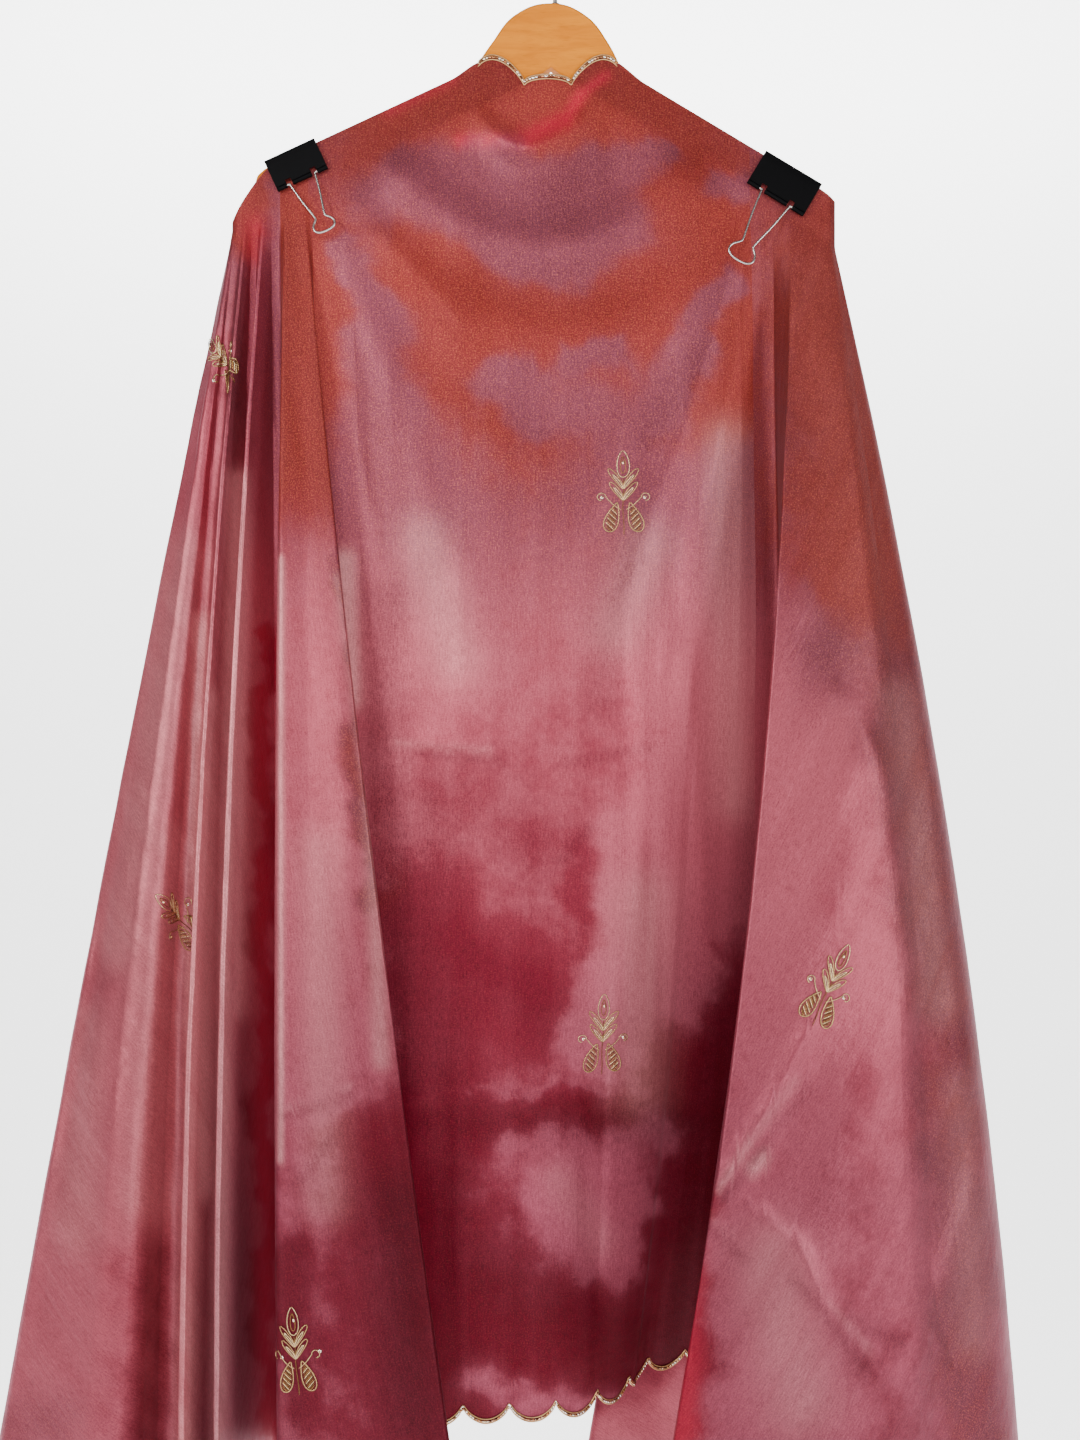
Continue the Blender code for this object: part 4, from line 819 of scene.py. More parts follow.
# cloth finish
tissue = {
    "gold": srgb(116, 37, 33),
    "goldThread": srgb(206, 112, 66),
    "pink": srgb(108, 22, 40),
    "crimson": srgb(82, 0, 20),
    # painted glow colour, for light coming through folded edges and deep folds
    "paintedGlowPink": srgb(158, 18, 46),
    # painted sheen colours, where the satin catches the light
    "mauve": srgb(106, 52, 66),
    "rose": srgb(160, 78, 90),
    "lowRose": srgb(138, 66, 82),
    # painted highlight colour
    "pale": srgb(206, 156, 152),
    # painted glow colour of light through the folds, used in the emission
    "through": srgb(150, 14, 40),
    "sheenTint": (1.0, 0.72, 0.80, 1),
    "threads": (5200.0, 4600.0),  # along the cut and down it
    "grain": 840.0,
    "crumple": 62.0,
    "bump": (0.46, 0.0020),  # strength, depth
    "roughness": 0.48,
    "metallic": 0.44,
    "passing": 0.28,  # share of light that goes through
}


def tissueMaterial():
    # shot tissue: pink into gold and crimson, with painted satin sheen, painted shade and painted highlights,
    # a painted glow in the emission, and light through it from a translucent share
    board = Board("shotTissue")
    where = board.cutPlace()
    u, v, _ = board.axes(where)
    tone = {kind: board.painted(kind) for kind in ("sheen", "gold", *paintedLightTones)}
    broad = board.noise(where, 34.0, 6.0, 0.66)
    drift = board.noise(where, 4.0, 3.0, 0.55)
    streaks = board.noise(board.stretched(where, 60.0, 2.4, 1.0), 1.0, 5.0, 0.62)
    grain = board.noise(where, tissue["grain"], 2.0, 0.8)
    low = (v + (drift - 0.5) * 0.16).eased(0.44, 0.88)
    ragged = (broad - 0.5) * (0.50 + 0.35 * low)
    # painted sheen: where the satin catches the light, with ragged edges, as a mask that also makes the cloth
    # more metallic and smoother there
    edge = (tone["sheen"] + ragged + (streaks - 0.5) * 0.2).eased(0.28, 0.70)
    paintedSheenMask = (edge * 0.55 + tone["sheen"] * 0.45 + (broad - 0.5) * 0.18 + (streaks - 0.5) * 0.22).clamped()
    gold = (tone["gold"] + (drift - 0.5) * 0.4 + (broad - 0.5) * 0.2).eased(0.10, 0.90)
    colour = board.mix(low, tissue["pink"], tissue["crimson"])
    colour = board.mix(gold, colour, tissue["gold"])
    # painted glow: hot pink where light comes through folded edges and deep folds
    colour = board.mix(tone["crimson"] * 0.8, colour, tissue["paintedGlowPink"])
    # painted sheen colour: rose, a darker rose low down, and mauve over the gold
    bright = board.mix(low, tissue["rose"], tissue["lowRose"])
    bright = board.mix(gold, bright, tissue["mauve"])
    colour = board.mix(paintedSheenMask, colour, bright)
    # painted highlights: pale light along crests and edges
    colour = board.mix(tone["pale"] * 0.4 * (0.3 + streaks), colour, tissue["pale"])
    speck = grain.eased(0.50, 0.70)
    colour = board.mix(speck * (gold * 0.22 + 0.05), colour, tissue["goldThread"])
    fibre = board.noise(board.stretched(where, 900.0, 160.0, 1.0), 1.0, 3.0, 0.6)
    # painted shade darkens the colour here, beside fibre, grain and streaks
    shade = 0.84 + (fibre - 0.5) * 0.9 + (grain - 0.5) * 1.1 - tone["dark"] * 0.42 + streaks * 0.22
    colour = board.dimmed(colour, shade)
    # painted glow: the cloth glows with a share of its own colour, more where highlights are painted, and
    # crimson where light comes through folds
    seen = board.dimmed(colour, 0.14 + 0.50 * tone["pale"])
    through = board.dimmed(tissue["through"], tone["crimson"] * 0.32)
    through = board.node("ShaderNodeVectorMath", {"operation": "ADD"}, {0: seen, 1: through})
    alongThreads, downThreads = tissue["threads"]
    threads = (u * alongThreads).math("SINE") * (v * downThreads).math("SINE")
    crumple = board.noise(where, tissue["crumple"], 4.0, 0.55)
    height = threads * 0.04 + grain * 0.10 + crumple * 0.9 + streaks * 0.8
    normal = board.bump(height, *tissue["bump"])
    roughness = tissue["roughness"] - 0.12 * paintedSheenMask + 0.10 * (grain - 0.5)
    shader = board.principled({
        "Base Color": colour, "Roughness": roughness, "Metallic": tissue["metallic"] + 0.26 * paintedSheenMask,
        "IOR": 1.35, "Specular Tint": tissue["sheenTint"], "Normal": normal,
        "Emission Color": through, "Emission Strength": 1.0,
        "Sheen Weight": 0.05, "Sheen Roughness": 0.35, "Sheen Tint": tissue["sheenTint"],
    })
    glow = board.node("ShaderNodeBsdfTranslucent", {}, {"Color": colour})
    return board.finish(board.node("ShaderNodeMixShader", {}, {0: tissue["passing"], 1: shader, 2: glow}))


tissueFinish = tissueMaterial()
tissueFinish.cycles.emission_sampling = "NONE"


# mesh tools
def inScene(name, data):
    made = bpy.data.objects.new(name, data)
    bpy.context.scene.collection.objects.link(made)
    return made


def newObject(name, mesh, material, body="root"):
    made = inScene(name, mesh)
    mesh.materials.append(material)
    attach(made, body)
    return made


def shapeMesh(name, shape):
    mesh = bpy.data.meshes.new(name)
    shape.to_mesh(mesh)
    shape.free()
    return mesh


def quadMesh(name, points, quads):
    mesh = bpy.data.meshes.new(name)
    mesh.vertices.add(len(points))
    mesh.vertices.foreach_set("co", points.reshape(-1).astype(np.float32))
    mesh.loops.add(len(quads) * 4)
    mesh.loops.foreach_set("vertex_index", quads.reshape(-1).astype(np.int32))
    mesh.polygons.add(len(quads))
    mesh.polygons.foreach_set("loop_start", (np.arange(len(quads)) * 4).astype(np.int32))
    mesh.update(calc_edges=True)
    mesh.polygons.foreach_set("use_smooth", np.full(len(quads), True))
    return mesh


def gridMesh(name, points, cut, normals):
    # a sheet through a grid of points, with its flat cut as the UV map
    columns, rows = points.shape[:2]
    index = np.arange(columns * rows).reshape(columns, rows)
    quads = np.stack((index[:-1, :-1], index[:-1, 1:], index[1:, 1:], index[1:, :-1]), axis=-1)
    quads = quads.reshape(-1, 4)
    mesh = quadMesh(name, points.reshape(-1, 3), quads)
    layer = mesh.uv_layers.new(name="cut")
    layer.data.foreach_set("uv", cut.reshape(-1, 2)[quads.reshape(-1)].reshape(-1).astype(np.float32))
    if normals is not None:
        mesh.normals_split_custom_set_from_vertices(normals.reshape(-1, 3))
    return mesh


def addValues(mesh, named):
    # values on the points of a mesh, which its material reads by name
    for name, values in named.items():
        layer = mesh.attributes.new(name, "FLOAT", "POINT")
        layer.data.foreach_set("value", np.asarray(values, dtype=np.float32).reshape(-1))


clothEdge = {
    "neckInset": 0.0016,  # the cloth starts this far below the neck's scallops
    "armLift": 0.0009,  # and stands this far over the arms
    "hemInset": 0.0018,
    "sag": 0.030,  # how far the outer left end of the hung edge hangs down
    "sagFrom": -0.207,
    "sagRun": 0.0354,
}


def neckStart(x):
    # distance below the hung edge at which the cloth starts, with the scallops of the neck
    line = hangerLines
    onPanel = drape.onPanel(0.1)
    top = drape.lines[onPanel, 0]
    arms = np.array([armTop(value) for value in np.atleast_1d(x)])
    rise = np.maximum(0.0, arms - np.interp(x, top[:, 0], top[:, 2])) * (np.abs(x) < 0.14)
    share = (x - line["neckLeft"]) / (line["neckRight"] - line["neckLeft"])
    inside = (share > 0) & (share < 1)
    share = np.clip(share, 0, 1)
    wave = np.abs(np.sin(math.pi * line["neckScallops"] * share)) ** clothCut["scallopPower"]
    height = line["neckLift"] - line["neckDip"] * np.sin(math.pi * share) ** 2 + line["neckWave"] * wave
    beyond = np.minimum(np.abs(x - line["neckLeft"]), np.abs(x - line["neckRight"]))
    shoulder = line["neckLift"] * smooth(1 - beyond / 0.020)
    return -rise - np.where(inside, height, shoulder)


def edgeSlant(columns):
    # how much longer a line's way across the border is than the border's own width
    onHem = np.abs(drape.marks[columns]) <= clothCut["length"] / 2
    heading = np.abs(drape.heading[columns])
    return np.where(onHem, heading[:, 1], heading[:, 0]).clip(0.5, 1.0)


def drapeGrid():
    # one grid over the whole cloth, which the pieces share out between them
    columns = np.arange(len(drape.places))
    rows = int(round(clothCut["width"] / clothCut["rowPitch"]))
    onPanel = drape.onPanel(0)
    topX = drape.lines[:, 0, 0]
    inNeck = onPanel & (topX > hangerLines["neckLeft"]) & (topX < hangerLines["neckRight"])
    start = np.where(onPanel, neckStart(topX) + np.where(inNeck, clothEdge["neckInset"], 0.0), 0.0)
    start = start - np.where(inNeck, 0.0, clothEdge["armLift"])
    sag = np.clip((clothEdge["sagFrom"] - topX) / clothEdge["sagRun"], 0, 1)
    start = start + clothEdge["sag"] * sag**1.6
    end = drape.length - (scallopInset(drape.marks) + clothEdge["hemInset"]) / edgeSlant(columns)
    share = np.arange(rows + 1) / rows
    share = 0.55 * share + 0.45 * share**1.6  # the rows are closest at the top
    distance = start[:, None] + (end - start)[:, None] * share[None, :]
    column = np.repeat(columns[:, None].astype(float), rows + 1, axis=1)
    points, _ = drape.point(column, distance)
    cut = drape.cut(column, distance)
    across = np.gradient(points, axis=0)
    down = np.gradient(points, axis=1)
    return points, cut, unit(np.cross(down, across))


def flatArea(cut):
    one = cut[1:, 1:] - cut[:-1, :-1]
    two = cut[:-1, 1:] - cut[1:, :-1]
    return float(np.abs(one[..., 0] * two[..., 1] - one[..., 1] * two[..., 0]).sum() / 2)


def sheetSize(cut):
    # width and length of a piece's flat cut, and its area
    size = np.ptp(cut.reshape(-1, 2), axis=0)
    return tuple(float(s) for s in size), flatArea(cut)


def makeCloth():
    points, cut, normals = drapeGrid()
    made = {}
    for name, node, low, high in clothPieces:
        first = int(np.searchsorted(drape.places, low - 1e-6))
        last = min(len(drape.places) - 1, int(np.searchsorted(drape.places, high - 1e-6)))
        part = slice(first, last + 1)
        mesh = gridMesh(name, points[part], cut[part], normals[part])
        place = np.repeat(drape.places[part, None], points.shape[1], axis=1)
        addValues(mesh, clothTones(name, points[part], cut[part], place))
        piece = newObject(name, mesh, tissueFinish)
        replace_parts(piece, node)
        made[name] = (piece, *sheetSize(cut[part]))
        print("cloth: %s, %d quads" % (name, len(mesh.polygons)))
    return made


clothMade = makeCloth()


# cords, beads and wire: tubes through points of the cloth
def alike(direction, count):
    # the same direction at every point of a path
    return np.repeat([direction], count, axis=0)


class Tubes:
    # gathers tubes and makes one mesh of them
    def __init__(self, sides=6):
        self.sides, self.points, self.quads, self.shades, self.count = sides, [], [], [], 0

    def add(self, path, normals, radii, shade=0.5):
        # a tube through a path, which lies on a surface with the normals given
        path, normals = np.asarray(path, dtype=float), np.asarray(normals, dtype=float)
        radii = np.broadcast_to(np.asarray(radii, dtype=float), (len(path),))
        tangent = unit(np.gradient(path, axis=0))
        side = unit(np.cross(tangent, normals))
        out = np.cross(side, tangent)
        angle = 2 * math.pi * np.arange(self.sides) / self.sides
        ring = np.cos(angle)[None, :, None] * out[:, None, :]
        ring = ring + np.sin(angle)[None, :, None] * side[:, None, :]
        points = path[:, None, :] + ring * radii[:, None, None]
        index = self.count + np.arange(len(path) * self.sides).reshape(len(path), self.sides)
        following = np.roll(index, -1, axis=1)
        quads = np.stack((index[:-1], following[:-1], following[1:], index[1:]), axis=-1)
        self.points.append(points.reshape(-1, 3))
        self.quads.append(quads.reshape(-1, 4))
        self.shades.append(np.full(points.shape[0] * self.sides, shade))
        self.count += points.shape[0] * self.sides

    def cord(self, path, normals, radius, shade=0.5):
        # a tube with rounded ends
        radii = np.full(len(path), radius)
        radii[[0, -1]] = radius * 0.1
        self.add(path, normals, radii, shade)

    def bead(self, one, two, normal, radius, shade):
        # a cut tube bead between two points, with eased rims round its hole
        shares = np.array((0.0, 0.10, 0.90, 1.0))
        path = one + (two - one) * shares[:, None]
        radii = radius * np.array((0.4, 1.0, 1.0, 0.4))
        self.add(path, alike(normal, 4), radii, shade)

    def object(self, name, material, slot, body="root"):
        mesh = quadMesh(name, np.concatenate(self.points), np.concatenate(self.quads))
        addValues(mesh, {"shade": np.concatenate(self.shades)})
        return newObject(name, mesh, material, body)


def metalMaterial(name, colours, roughness, bumpScale, bumpDepth):
    # metal whose colour changes from one small piece to the next
    board = Board(name)
    where = board.objectPlace()
    stops = [(k / (len(colours) - 1), colour) for k, colour in enumerate(colours)]
    colour = board.ramp(stops, board.painted("shade"))
    fine = board.noise(where, bumpScale, 2.0, 0.6)
    colour = board.mix((fine - 0.35) * 0.8, colour, (0.10, 0.06, 0.04))
    return board.finish(board.principled({
        "Base Color": colour, "Roughness": roughness + 0.2 * (fine - 0.5), "Metallic": 0.9,
        "Normal": board.bump(fine, 0.6, bumpDepth)}))


zariFinish = metalMaterial("zariCord", [srgb(150, 104, 74), srgb(214, 168, 112), srgb(238, 214, 170)],
                           0.34, 1800.0, 0.0004)
beadFinish = metalMaterial("cutBeads", [srgb(110, 70, 48), srgb(206, 142, 92), srgb(236, 214, 178),
                                        srgb(244, 240, 232)], 0.16, 700.0, 0.0001)

border = {
    "rows": [(0.0008, 0.00050, 0.35), (0.0042, 0.00045, 0.55)],  # inset, radius, shade of each cord
    "beadInset": 0.0025,
    "beadRadius": 0.00085,
    "beadPitch": 0.0024,
    "beadLength": 0.0021,
    "step": 0.0018,
    "lift": 0.0004,
    "join": 0.0004,  # left open between the hems of two pieces
    "neckEnd": 0.0006,
    "neckSteps": 150,
    "fallTop": 0.012,
    "fallFoot": 0.006,
}


def edgeCut(marks, inset):
    # places in the flat cut at distances round its edge, moved inwards
    half, width = clothCut["length"] / 2, clothCut["width"]
    onHem = np.abs(marks) <= half
    u = np.where(onHem, marks, np.sign(marks) * (half - inset))
    v = np.where(onHem, width - inset, width - (np.abs(marks) - half))
    return np.clip(u, inset - half, half - inset), v


def borderPath(marks, inset):
    u, v = edgeCut(marks, scallopInset(marks) + inset)
    column, distance = drape.find(u, v)
    points, normals = drape.point(column, distance)
    return points, normals


def beadShade(k):
    return 0.5 + 0.5 * math.sin(12.9898 * k + 4.1 * math.sin(78.2 * k))


def addBeads(beads, path, normals, seed):
    # beads strung along a path that lies on the cloth
    radius, pitch, length = border["beadRadius"], border["beadPitch"], border["beadLength"]
    steps = np.linalg.norm(np.diff(path, axis=0), axis=1)
    along = np.concatenate(([0.0], np.cumsum(steps)))
    count = int(along[-1] / pitch)
    for k in range(count):
        ends = [(k + 0.5) * pitch - length / 2, (k + 0.5) * pitch + length / 2]
        one, two = (np.array([np.interp(end, along, path[:, axis]) for axis in range(3)]) for end in ends)
        middle = np.array([np.interp(np.mean(ends), along, normals[:, axis]) for axis in range(3)])
        if np.linalg.norm(two - one) > 0.6 * length:
            beads.bead(one, two, middle / np.linalg.norm(middle), radius, beadShade(k + 31 * seed))


def borderObjects(name, node, pathAt):
    # two cords and a row of beads; pathAt gives points and normals at an inset from the edge
    cords, beads = Tubes(6), Tubes(6)
    for inset, radius, shade in border["rows"]:
        path, normals = pathAt(inset)
        cords.cord(path + normals * (border["lift"] + radius * 0.4), normals, radius, shade)
        cords.cord(path - normals * (border["lift"] + radius * 0.4), normals, radius * 0.8, shade)
    path, normals = pathAt(border["beadInset"])
    lifted = path + normals * (border["lift"] + border["beadRadius"] * 0.5)
    addBeads(beads, lifted, normals, len(name))
    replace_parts(cords.object(name + "Cords", zariFinish, "edging"), node)
    beads.object(name + "Beads", beadFinish, "edging")
    print("border: %s" % name)


def hemBorders():
    for name, node, low, high in clothPieces:
        ends = [float(np.interp(place, drape.places, drape.marks)) for place in (low, high)]
        if low > 0:
            ends[0] += border["join"]
        if high < drape.places[-1]:
            ends[1] -= border["join"]
        count = int((ends[1] - ends[0]) / border["step"])
        marks = np.linspace(ends[0], ends[1], count)
        borderObjects(name + "Hem", node + "_edging", lambda inset: borderPath(marks, inset))


def neckBorder():
    left, right = hangerLines["neckLeft"] + border["neckEnd"], hangerLines["neckRight"] - border["neckEnd"]
    x = np.linspace(left, right, border["neckSteps"])
    onPanel = drape.onPanel(0.1)
    column = np.interp(x, drape.lines[onPanel, 0, 0], np.nonzero(onPanel)[0])
    borderObjects("neck", "neck_edging", lambda inset: drape.point(column, neckStart(x) + inset))


def lobeReach(distance):
    # how far the lobes of a scalloped edge stand out, counted from halfway down a scallop
    wave = np.abs(np.sin(math.pi * distance / longPitch)) ** clothCut["scallopPower"]
    return np.maximum(0.0, clothCut["scallopDepth"] * wave - 0.5 * clothCut["scallopDepth"])


def fallBorder(name, node, column, inner):
    # down a falling edge, whose lobes stand outside the last line of the cloth
    distance = np.arange(border["fallTop"], drape.length[column] - border["fallFoot"], border["step"])
    here, normals = drape.point(np.full(distance.shape, float(column)), distance)
    beside, _ = drape.point(np.full(distance.shape, float(inner)), distance)
    way = beside - here
    way /= np.linalg.norm(way, axis=1)[:, None]
    outward = lobeReach(distance) * smooth((distance - 0.03) / 0.05)  # none on the arm itself
    borderObjects(name, node, lambda inset: (here + way * (inset - outward)[:, None], normals))


hemBorders()
neckBorder()
fallBorder("leftFall", "left_fall_edging", 0, 3)
fallBorder("rightFall", "right_fall_edging", len(drape.places) - 1, len(drape.places) - 4)


# the strip folded over the arms
flapCrest = [  # across the arm, in stands of the cloth, and height over the arm
    (-1.0, 0.0008), (-0.94, 0.0011), (-0.78, 0.0014), (-0.4, 0.00165), (0.0, 0.0017), (0.4, 0.00165),
    (0.78, 0.0014), (0.94, 0.0011), (1.0, 0.0004),
]
flap = {
    "rows": 26,
    "columns": 60,
    "hemInset": 0.0016,
    "shortest": 0.0015,
    "stand": 0.0004,
    "ripple": 0.0006,
    "rippleTurn": 260,
    "hemSteps": 90,
    "hemFrom": 0.0125,  # the strip has a border where it falls at least this far
    "hemStand": 0.0006,
}
flapEnds = {
    "left": (hangerLines["neckLeft"] - 0.006, shoulderPoint(-1, leftFolds[-1][1])[0] + 0.002),
    "right": (hangerLines["neckRight"] + 0.005, shoulderPoint(1, rightFolds[-1][1])[0] - 0.002),
}


def flapLine(side, x):
    # points over the arm at x, then the way down its rear and how far the strip falls
    slope = hangerLines["leftSlope"] if side < 0 else hangerLines["rightSlope"]
    angle = math.atan(slope)
    top = armTop(x)
    crest = [np.array((x, clothCut["stand"] * y, top + z)) for y, z in flapCrest]
    direction = np.array((-side * math.sin(2 * angle), 0.0, -math.cos(2 * angle)))
    return crest, direction, hangerLines["neckZ"] - top


def makeFlap(name, side):
    first, last = flapEnds[name]
    node = name + "_neck_flap"
    rows, columns = flap["rows"], flap["columns"]
    points, cut = [], []
    for k in range(columns + 1):
        x = first + (last - first) * k / columns
        crest, direction, fall = flapLine(side, x)
        end = max(flap["shortest"], fall - flap["hemInset"])
        down = []
        for row in range(rows):
            ripple = flap["ripple"] * math.sin(flap["rippleTurn"] * x + 0.2 * row) * min(1.0, row / 8)
            point = crest[-1] + direction * (end * (row + 1) / rows)
            down.append(point + np.array((0, flap["stand"] + abs(ripple), 0)))
        line = np.array(crest + down)
        points.append(line)
        along = np.concatenate(([0.0], np.cumsum(np.linalg.norm(np.diff(line, axis=0), axis=1))))
        cut.append(np.stack((np.full(len(along), x), -along), axis=-1))
    points, cut = np.array(points), np.array(cut)
    if side < 0:
        points, cut = points[::-1], cut[::-1]
    mesh = gridMesh(name + "NeckFlap", points, cut, None)
    # painted sheen in clouds on the flap, with no painted shade, highlight or glow
    tones = {tone: np.zeros(cut.shape[:2]) for tone in paintedLightTones}
    tones["sheen"] = 0.5 + 0.5 * np.clip(cloudy(cut, 9.0, 2.0) + 0.2, -1, 1)
    tones["gold"] = np.full(cut.shape[:2], 0.9)
    addValues(mesh, tones)
    piece = newObject(name + "NeckFlap", mesh, tissueFinish)
    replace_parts(piece, node)
    clothMade[name + "NeckFlap"] = (piece, *sheetSize(cut))

    def pathAt(inset):
        path = []
        for x in np.linspace(first, last, flap["hemSteps"]):
            crest, direction, fall = flapLine(side, x)
            if fall >= flap["hemFrom"]:
                reach = fall + lobeReach(x - first) - inset
                path.append(crest[-1] + direction * reach + np.array((0, flap["hemStand"], 0)))
        return np.array(path), alike((0.0, 1.0, 0.0), len(path))

    borderObjects(name + "FlapHem", node + "_edging", pathAt)


makeFlap("left", -1)
makeFlap("right", 1)

# embroidered sprigs
sprig = {
    # across and down from the leaf's tip, in metres
    "wire": 0.00042,
    "lift": 0.0006,
    "leafLength": 0.020,
    "leafHalf": 0.0046,
    "stemEnd": 0.0630,
    "petals": [  # root, reach, rise, half width
        (0.0285, 0.0100, 0.0150, 0.0026), (0.0370, 0.0092, 0.0135, 0.0026)],
    "drop": (0.0040, 0.0385, 0.0105, 0.0600, 0.0052),  # top across and down, foot across and down, half width
    "coils": 14,
    "curl": (0.0150, 0.0345, 0.0036),  # middle across and down, radius
    "leafWire": (1.0, 0.75),  # thickness and shade, here and for the other wires
    "veinWire": (0.8, 0.35),
    "stemWire": (0.8, 0.2),
    "petalWire": (1.0, 0.6),
    "petalVeinWire": (0.8, 0.9),
    "dropWire": (1.25, 0.6),
    "curlWire": (0.9, 0.7),
    "sequin": [(0.0001, 0.0014), (0.0005, 0.0014), (0.0006, 0.0006)],  # height and radius of each ring
    "sequinBead": (0.0006, 0.0020, 0.0008),  # foot, top, radius
    "leafBead": (0.0080, 0.0105, 0.0009, 0.001),  # one end and the other down the leaf, radius, lift
    "places": [  # leaf tip across and down the cut, lean
        (0.046, 0.286, 0.00), (0.034, 0.694, -0.02), (0.459, 0.567, 0.02), (-0.351, 0.109, 0.10),
        (-0.680, 0.362, 0.05), (-0.340, 0.895, -0.10), (-0.365, 0.502, 0.00), (0.450, 0.157, 0.03),
        (0.450, 0.960, -0.03), (0.850, 0.290, 0.02), (0.860, 0.700, 0.00), (-0.720, 0.770, 0.03),
        (-1.120, 0.130, 0.00), (-1.125, 0.540, 0.04), (-1.120, 0.930, -0.02)],
}

wireFinish = metalMaterial("zariWire", [srgb(84, 52, 28), srgb(158, 116, 66), srgb(238, 214, 168)],
                           0.26, 2600.0, 0.0003)


def leafOutline(length, half, count=22):
    turn = 2 * math.pi * (np.arange(count + 1) / count)
    across = half * np.sin(turn) * np.abs(np.sin(turn / 2)) ** 0.4
    return np.stack((across, length * (1 - np.cos(turn)) / 2), axis=-1)


def petalOutline(side, root, reach, rise, half):
    # a loop from the stem out to a tip that points up
    turn = 2 * math.pi * (np.arange(17) / 16)
    along = (1 - np.cos(turn)) / 2
    way = np.array((side * reach, -rise)) / math.hypot(reach, rise)
    across = np.array((-way[1], way[0]))
    length = math.hypot(reach, rise)
    bow = np.array((-side * 0.0012, 0.0010))
    points = np.array((0.0, root)) + along[:, None] * way * length
    points += (half * np.sin(turn) * (0.4 + 0.6 * along))[:, None] * across
    return points + (np.sin(math.pi * along))[:, None] * bow


def dropParts(side):
    # a paisley drop's outline and the slanting coils inside it
    topX, topY, footX, footY, half = sprig["drop"]
    top, foot = np.array((side * topX, topY)), np.array((side * footX, footY))
    way = (foot - top) / np.linalg.norm(foot - top)
    across = np.array((-way[1], way[0]))
    length = np.linalg.norm(foot - top)
    turn = 2 * math.pi * np.arange(33) / 32
    along = (1 - np.cos(turn)) / 2
    width = half * np.sin(turn) * (0.15 + 0.85 * along**0.7) * 1.25
    outline = top + along[:, None] * way * length + width[:, None] * across
    coils = []
    for k in range(sprig["coils"]):
        share = 0.22 + 0.70 * k / (sprig["coils"] - 1)
        reach = half * 0.94 * math.sqrt(max(0.0, 1 - (2 * share - 1) ** 2)) * (0.15 + 0.85 * share**0.7) * 1.1
        ends = np.linspace(-reach, reach, 6)[:, None]
        slant = 0.55 * side
        coils.append(top + way * length * share + ends * (across + way * slant))
    return outline, coils


def curlPath(side):
    middleX, middleY, radius = sprig["curl"]
    turn = np.linspace(0, 1.55 * math.pi, 20)
    size = radius * (1 - 0.18 * turn / math.pi)
    x = side * (middleX - size * np.cos(turn) * 0.9)
    y = middleY + size * 0.9 * (-np.sin(turn))
    lead = np.stack((side * np.linspace(0.0012, middleX - radius * 0.9, 8),
                     np.linspace(0.0440, middleY, 8)), axis=-1)
    lead[:, 1] += 0.0012 * np.sin(np.linspace(0, math.pi, 8))
    return np.concatenate((lead[:-1], np.stack((x, y), axis=-1)))


def sprigWires():
    # each wire's path, thickness and shade
    length, half = sprig["leafLength"], sprig["leafHalf"]
    wires = [(leafOutline(length, half), *sprig["leafWire"])]
    wires.append((leafOutline(length * 0.62, half * 0.42) + (0, 0.0045), *sprig["veinWire"]))
    sway = 0.0003 * np.sin(np.linspace(0, 9, 30))
    stem = np.stack((sway, np.linspace(length, sprig["stemEnd"], 30)), axis=-1)
    wires.append((stem, *sprig["stemWire"]))
    for side in (-1, 1):
        for root, reach, rise, half in sprig["petals"]:
            wires.append((petalOutline(side, root, reach, rise, half), *sprig["petalWire"]))
            vein = petalOutline(side, root, reach * 0.7, rise * 0.7, half * 0.35)
            wires.append((vein, *sprig["petalVeinWire"]))
        outline, coils = dropParts(side)
        wires.append((outline, *sprig["dropWire"]))
        wires += [(coil, 0.85, 0.15 + 0.7 * (k % 3) / 2) for k, coil in enumerate(coils)]
        wires.append((curlPath(side), *sprig["curlWire"]))
    return wires


def addSequin(beads, u, v):
    # a cupped sequin with a bead in the middle
    point, normal = (value[0] for value in drape.point(*drape.find(u, v)))
    across = np.cross(normal, (0.0, 0.3, 1.0))
    rings = np.array([point + normal * height for height, _ in sprig["sequin"]])
    beads.add(rings, alike(across, len(rings)), [radius for _, radius in sprig["sequin"]], 0.9)
    foot, top, radius = sprig["sequinBead"]
    beads.bead(point + normal * foot, point + normal * top, across, radius, 0.4)


def addLeafBead(beads, u, v):
    *ends, radius, lift = sprig["leafBead"]
    out = drape.point(*drape.find(u, v))[1][0]
    one, two = (drape.point(*drape.find(u, v + down))[0][0] + out * lift for down in ends)
    beads.bead(one, two, out, radius, 0.6)


def makeSprigs():
    parts = sprigWires()
    flat = np.concatenate([path for path, _, _ in parts])
    wires, beads = Tubes(5), Tubes(8)
    middleX, middleY = sprig["curl"][:2]
    for u, v, lean in sprig["places"]:
        turned = np.stack((flat[:, 0] + lean * flat[:, 1], flat[:, 1] - lean * flat[:, 0]), axis=-1)
        column, distance = drape.find(u + turned[:, 0], v + turned[:, 1])
        points, normals = drape.point(column, distance)
        start = 0
        for path, weight, shade in parts:
            part = slice(start, start + len(path))
            start += len(path)
            lifted = points[part] + normals[part] * sprig["lift"]
            wires.cord(lifted, normals[part], sprig["wire"] * weight, shade)
        for side in (-1, 1):
            addSequin(beads, u + side * middleX * 0.96, v + middleY)
        addLeafBead(beads, u, v)
    wires.object("sprigWires", wireFinish, "edging")
    beads.object("sprigSequins", beadFinish, "edging")
    print("sprigs: %d" % len(sprig["places"]))


makeSprigs()

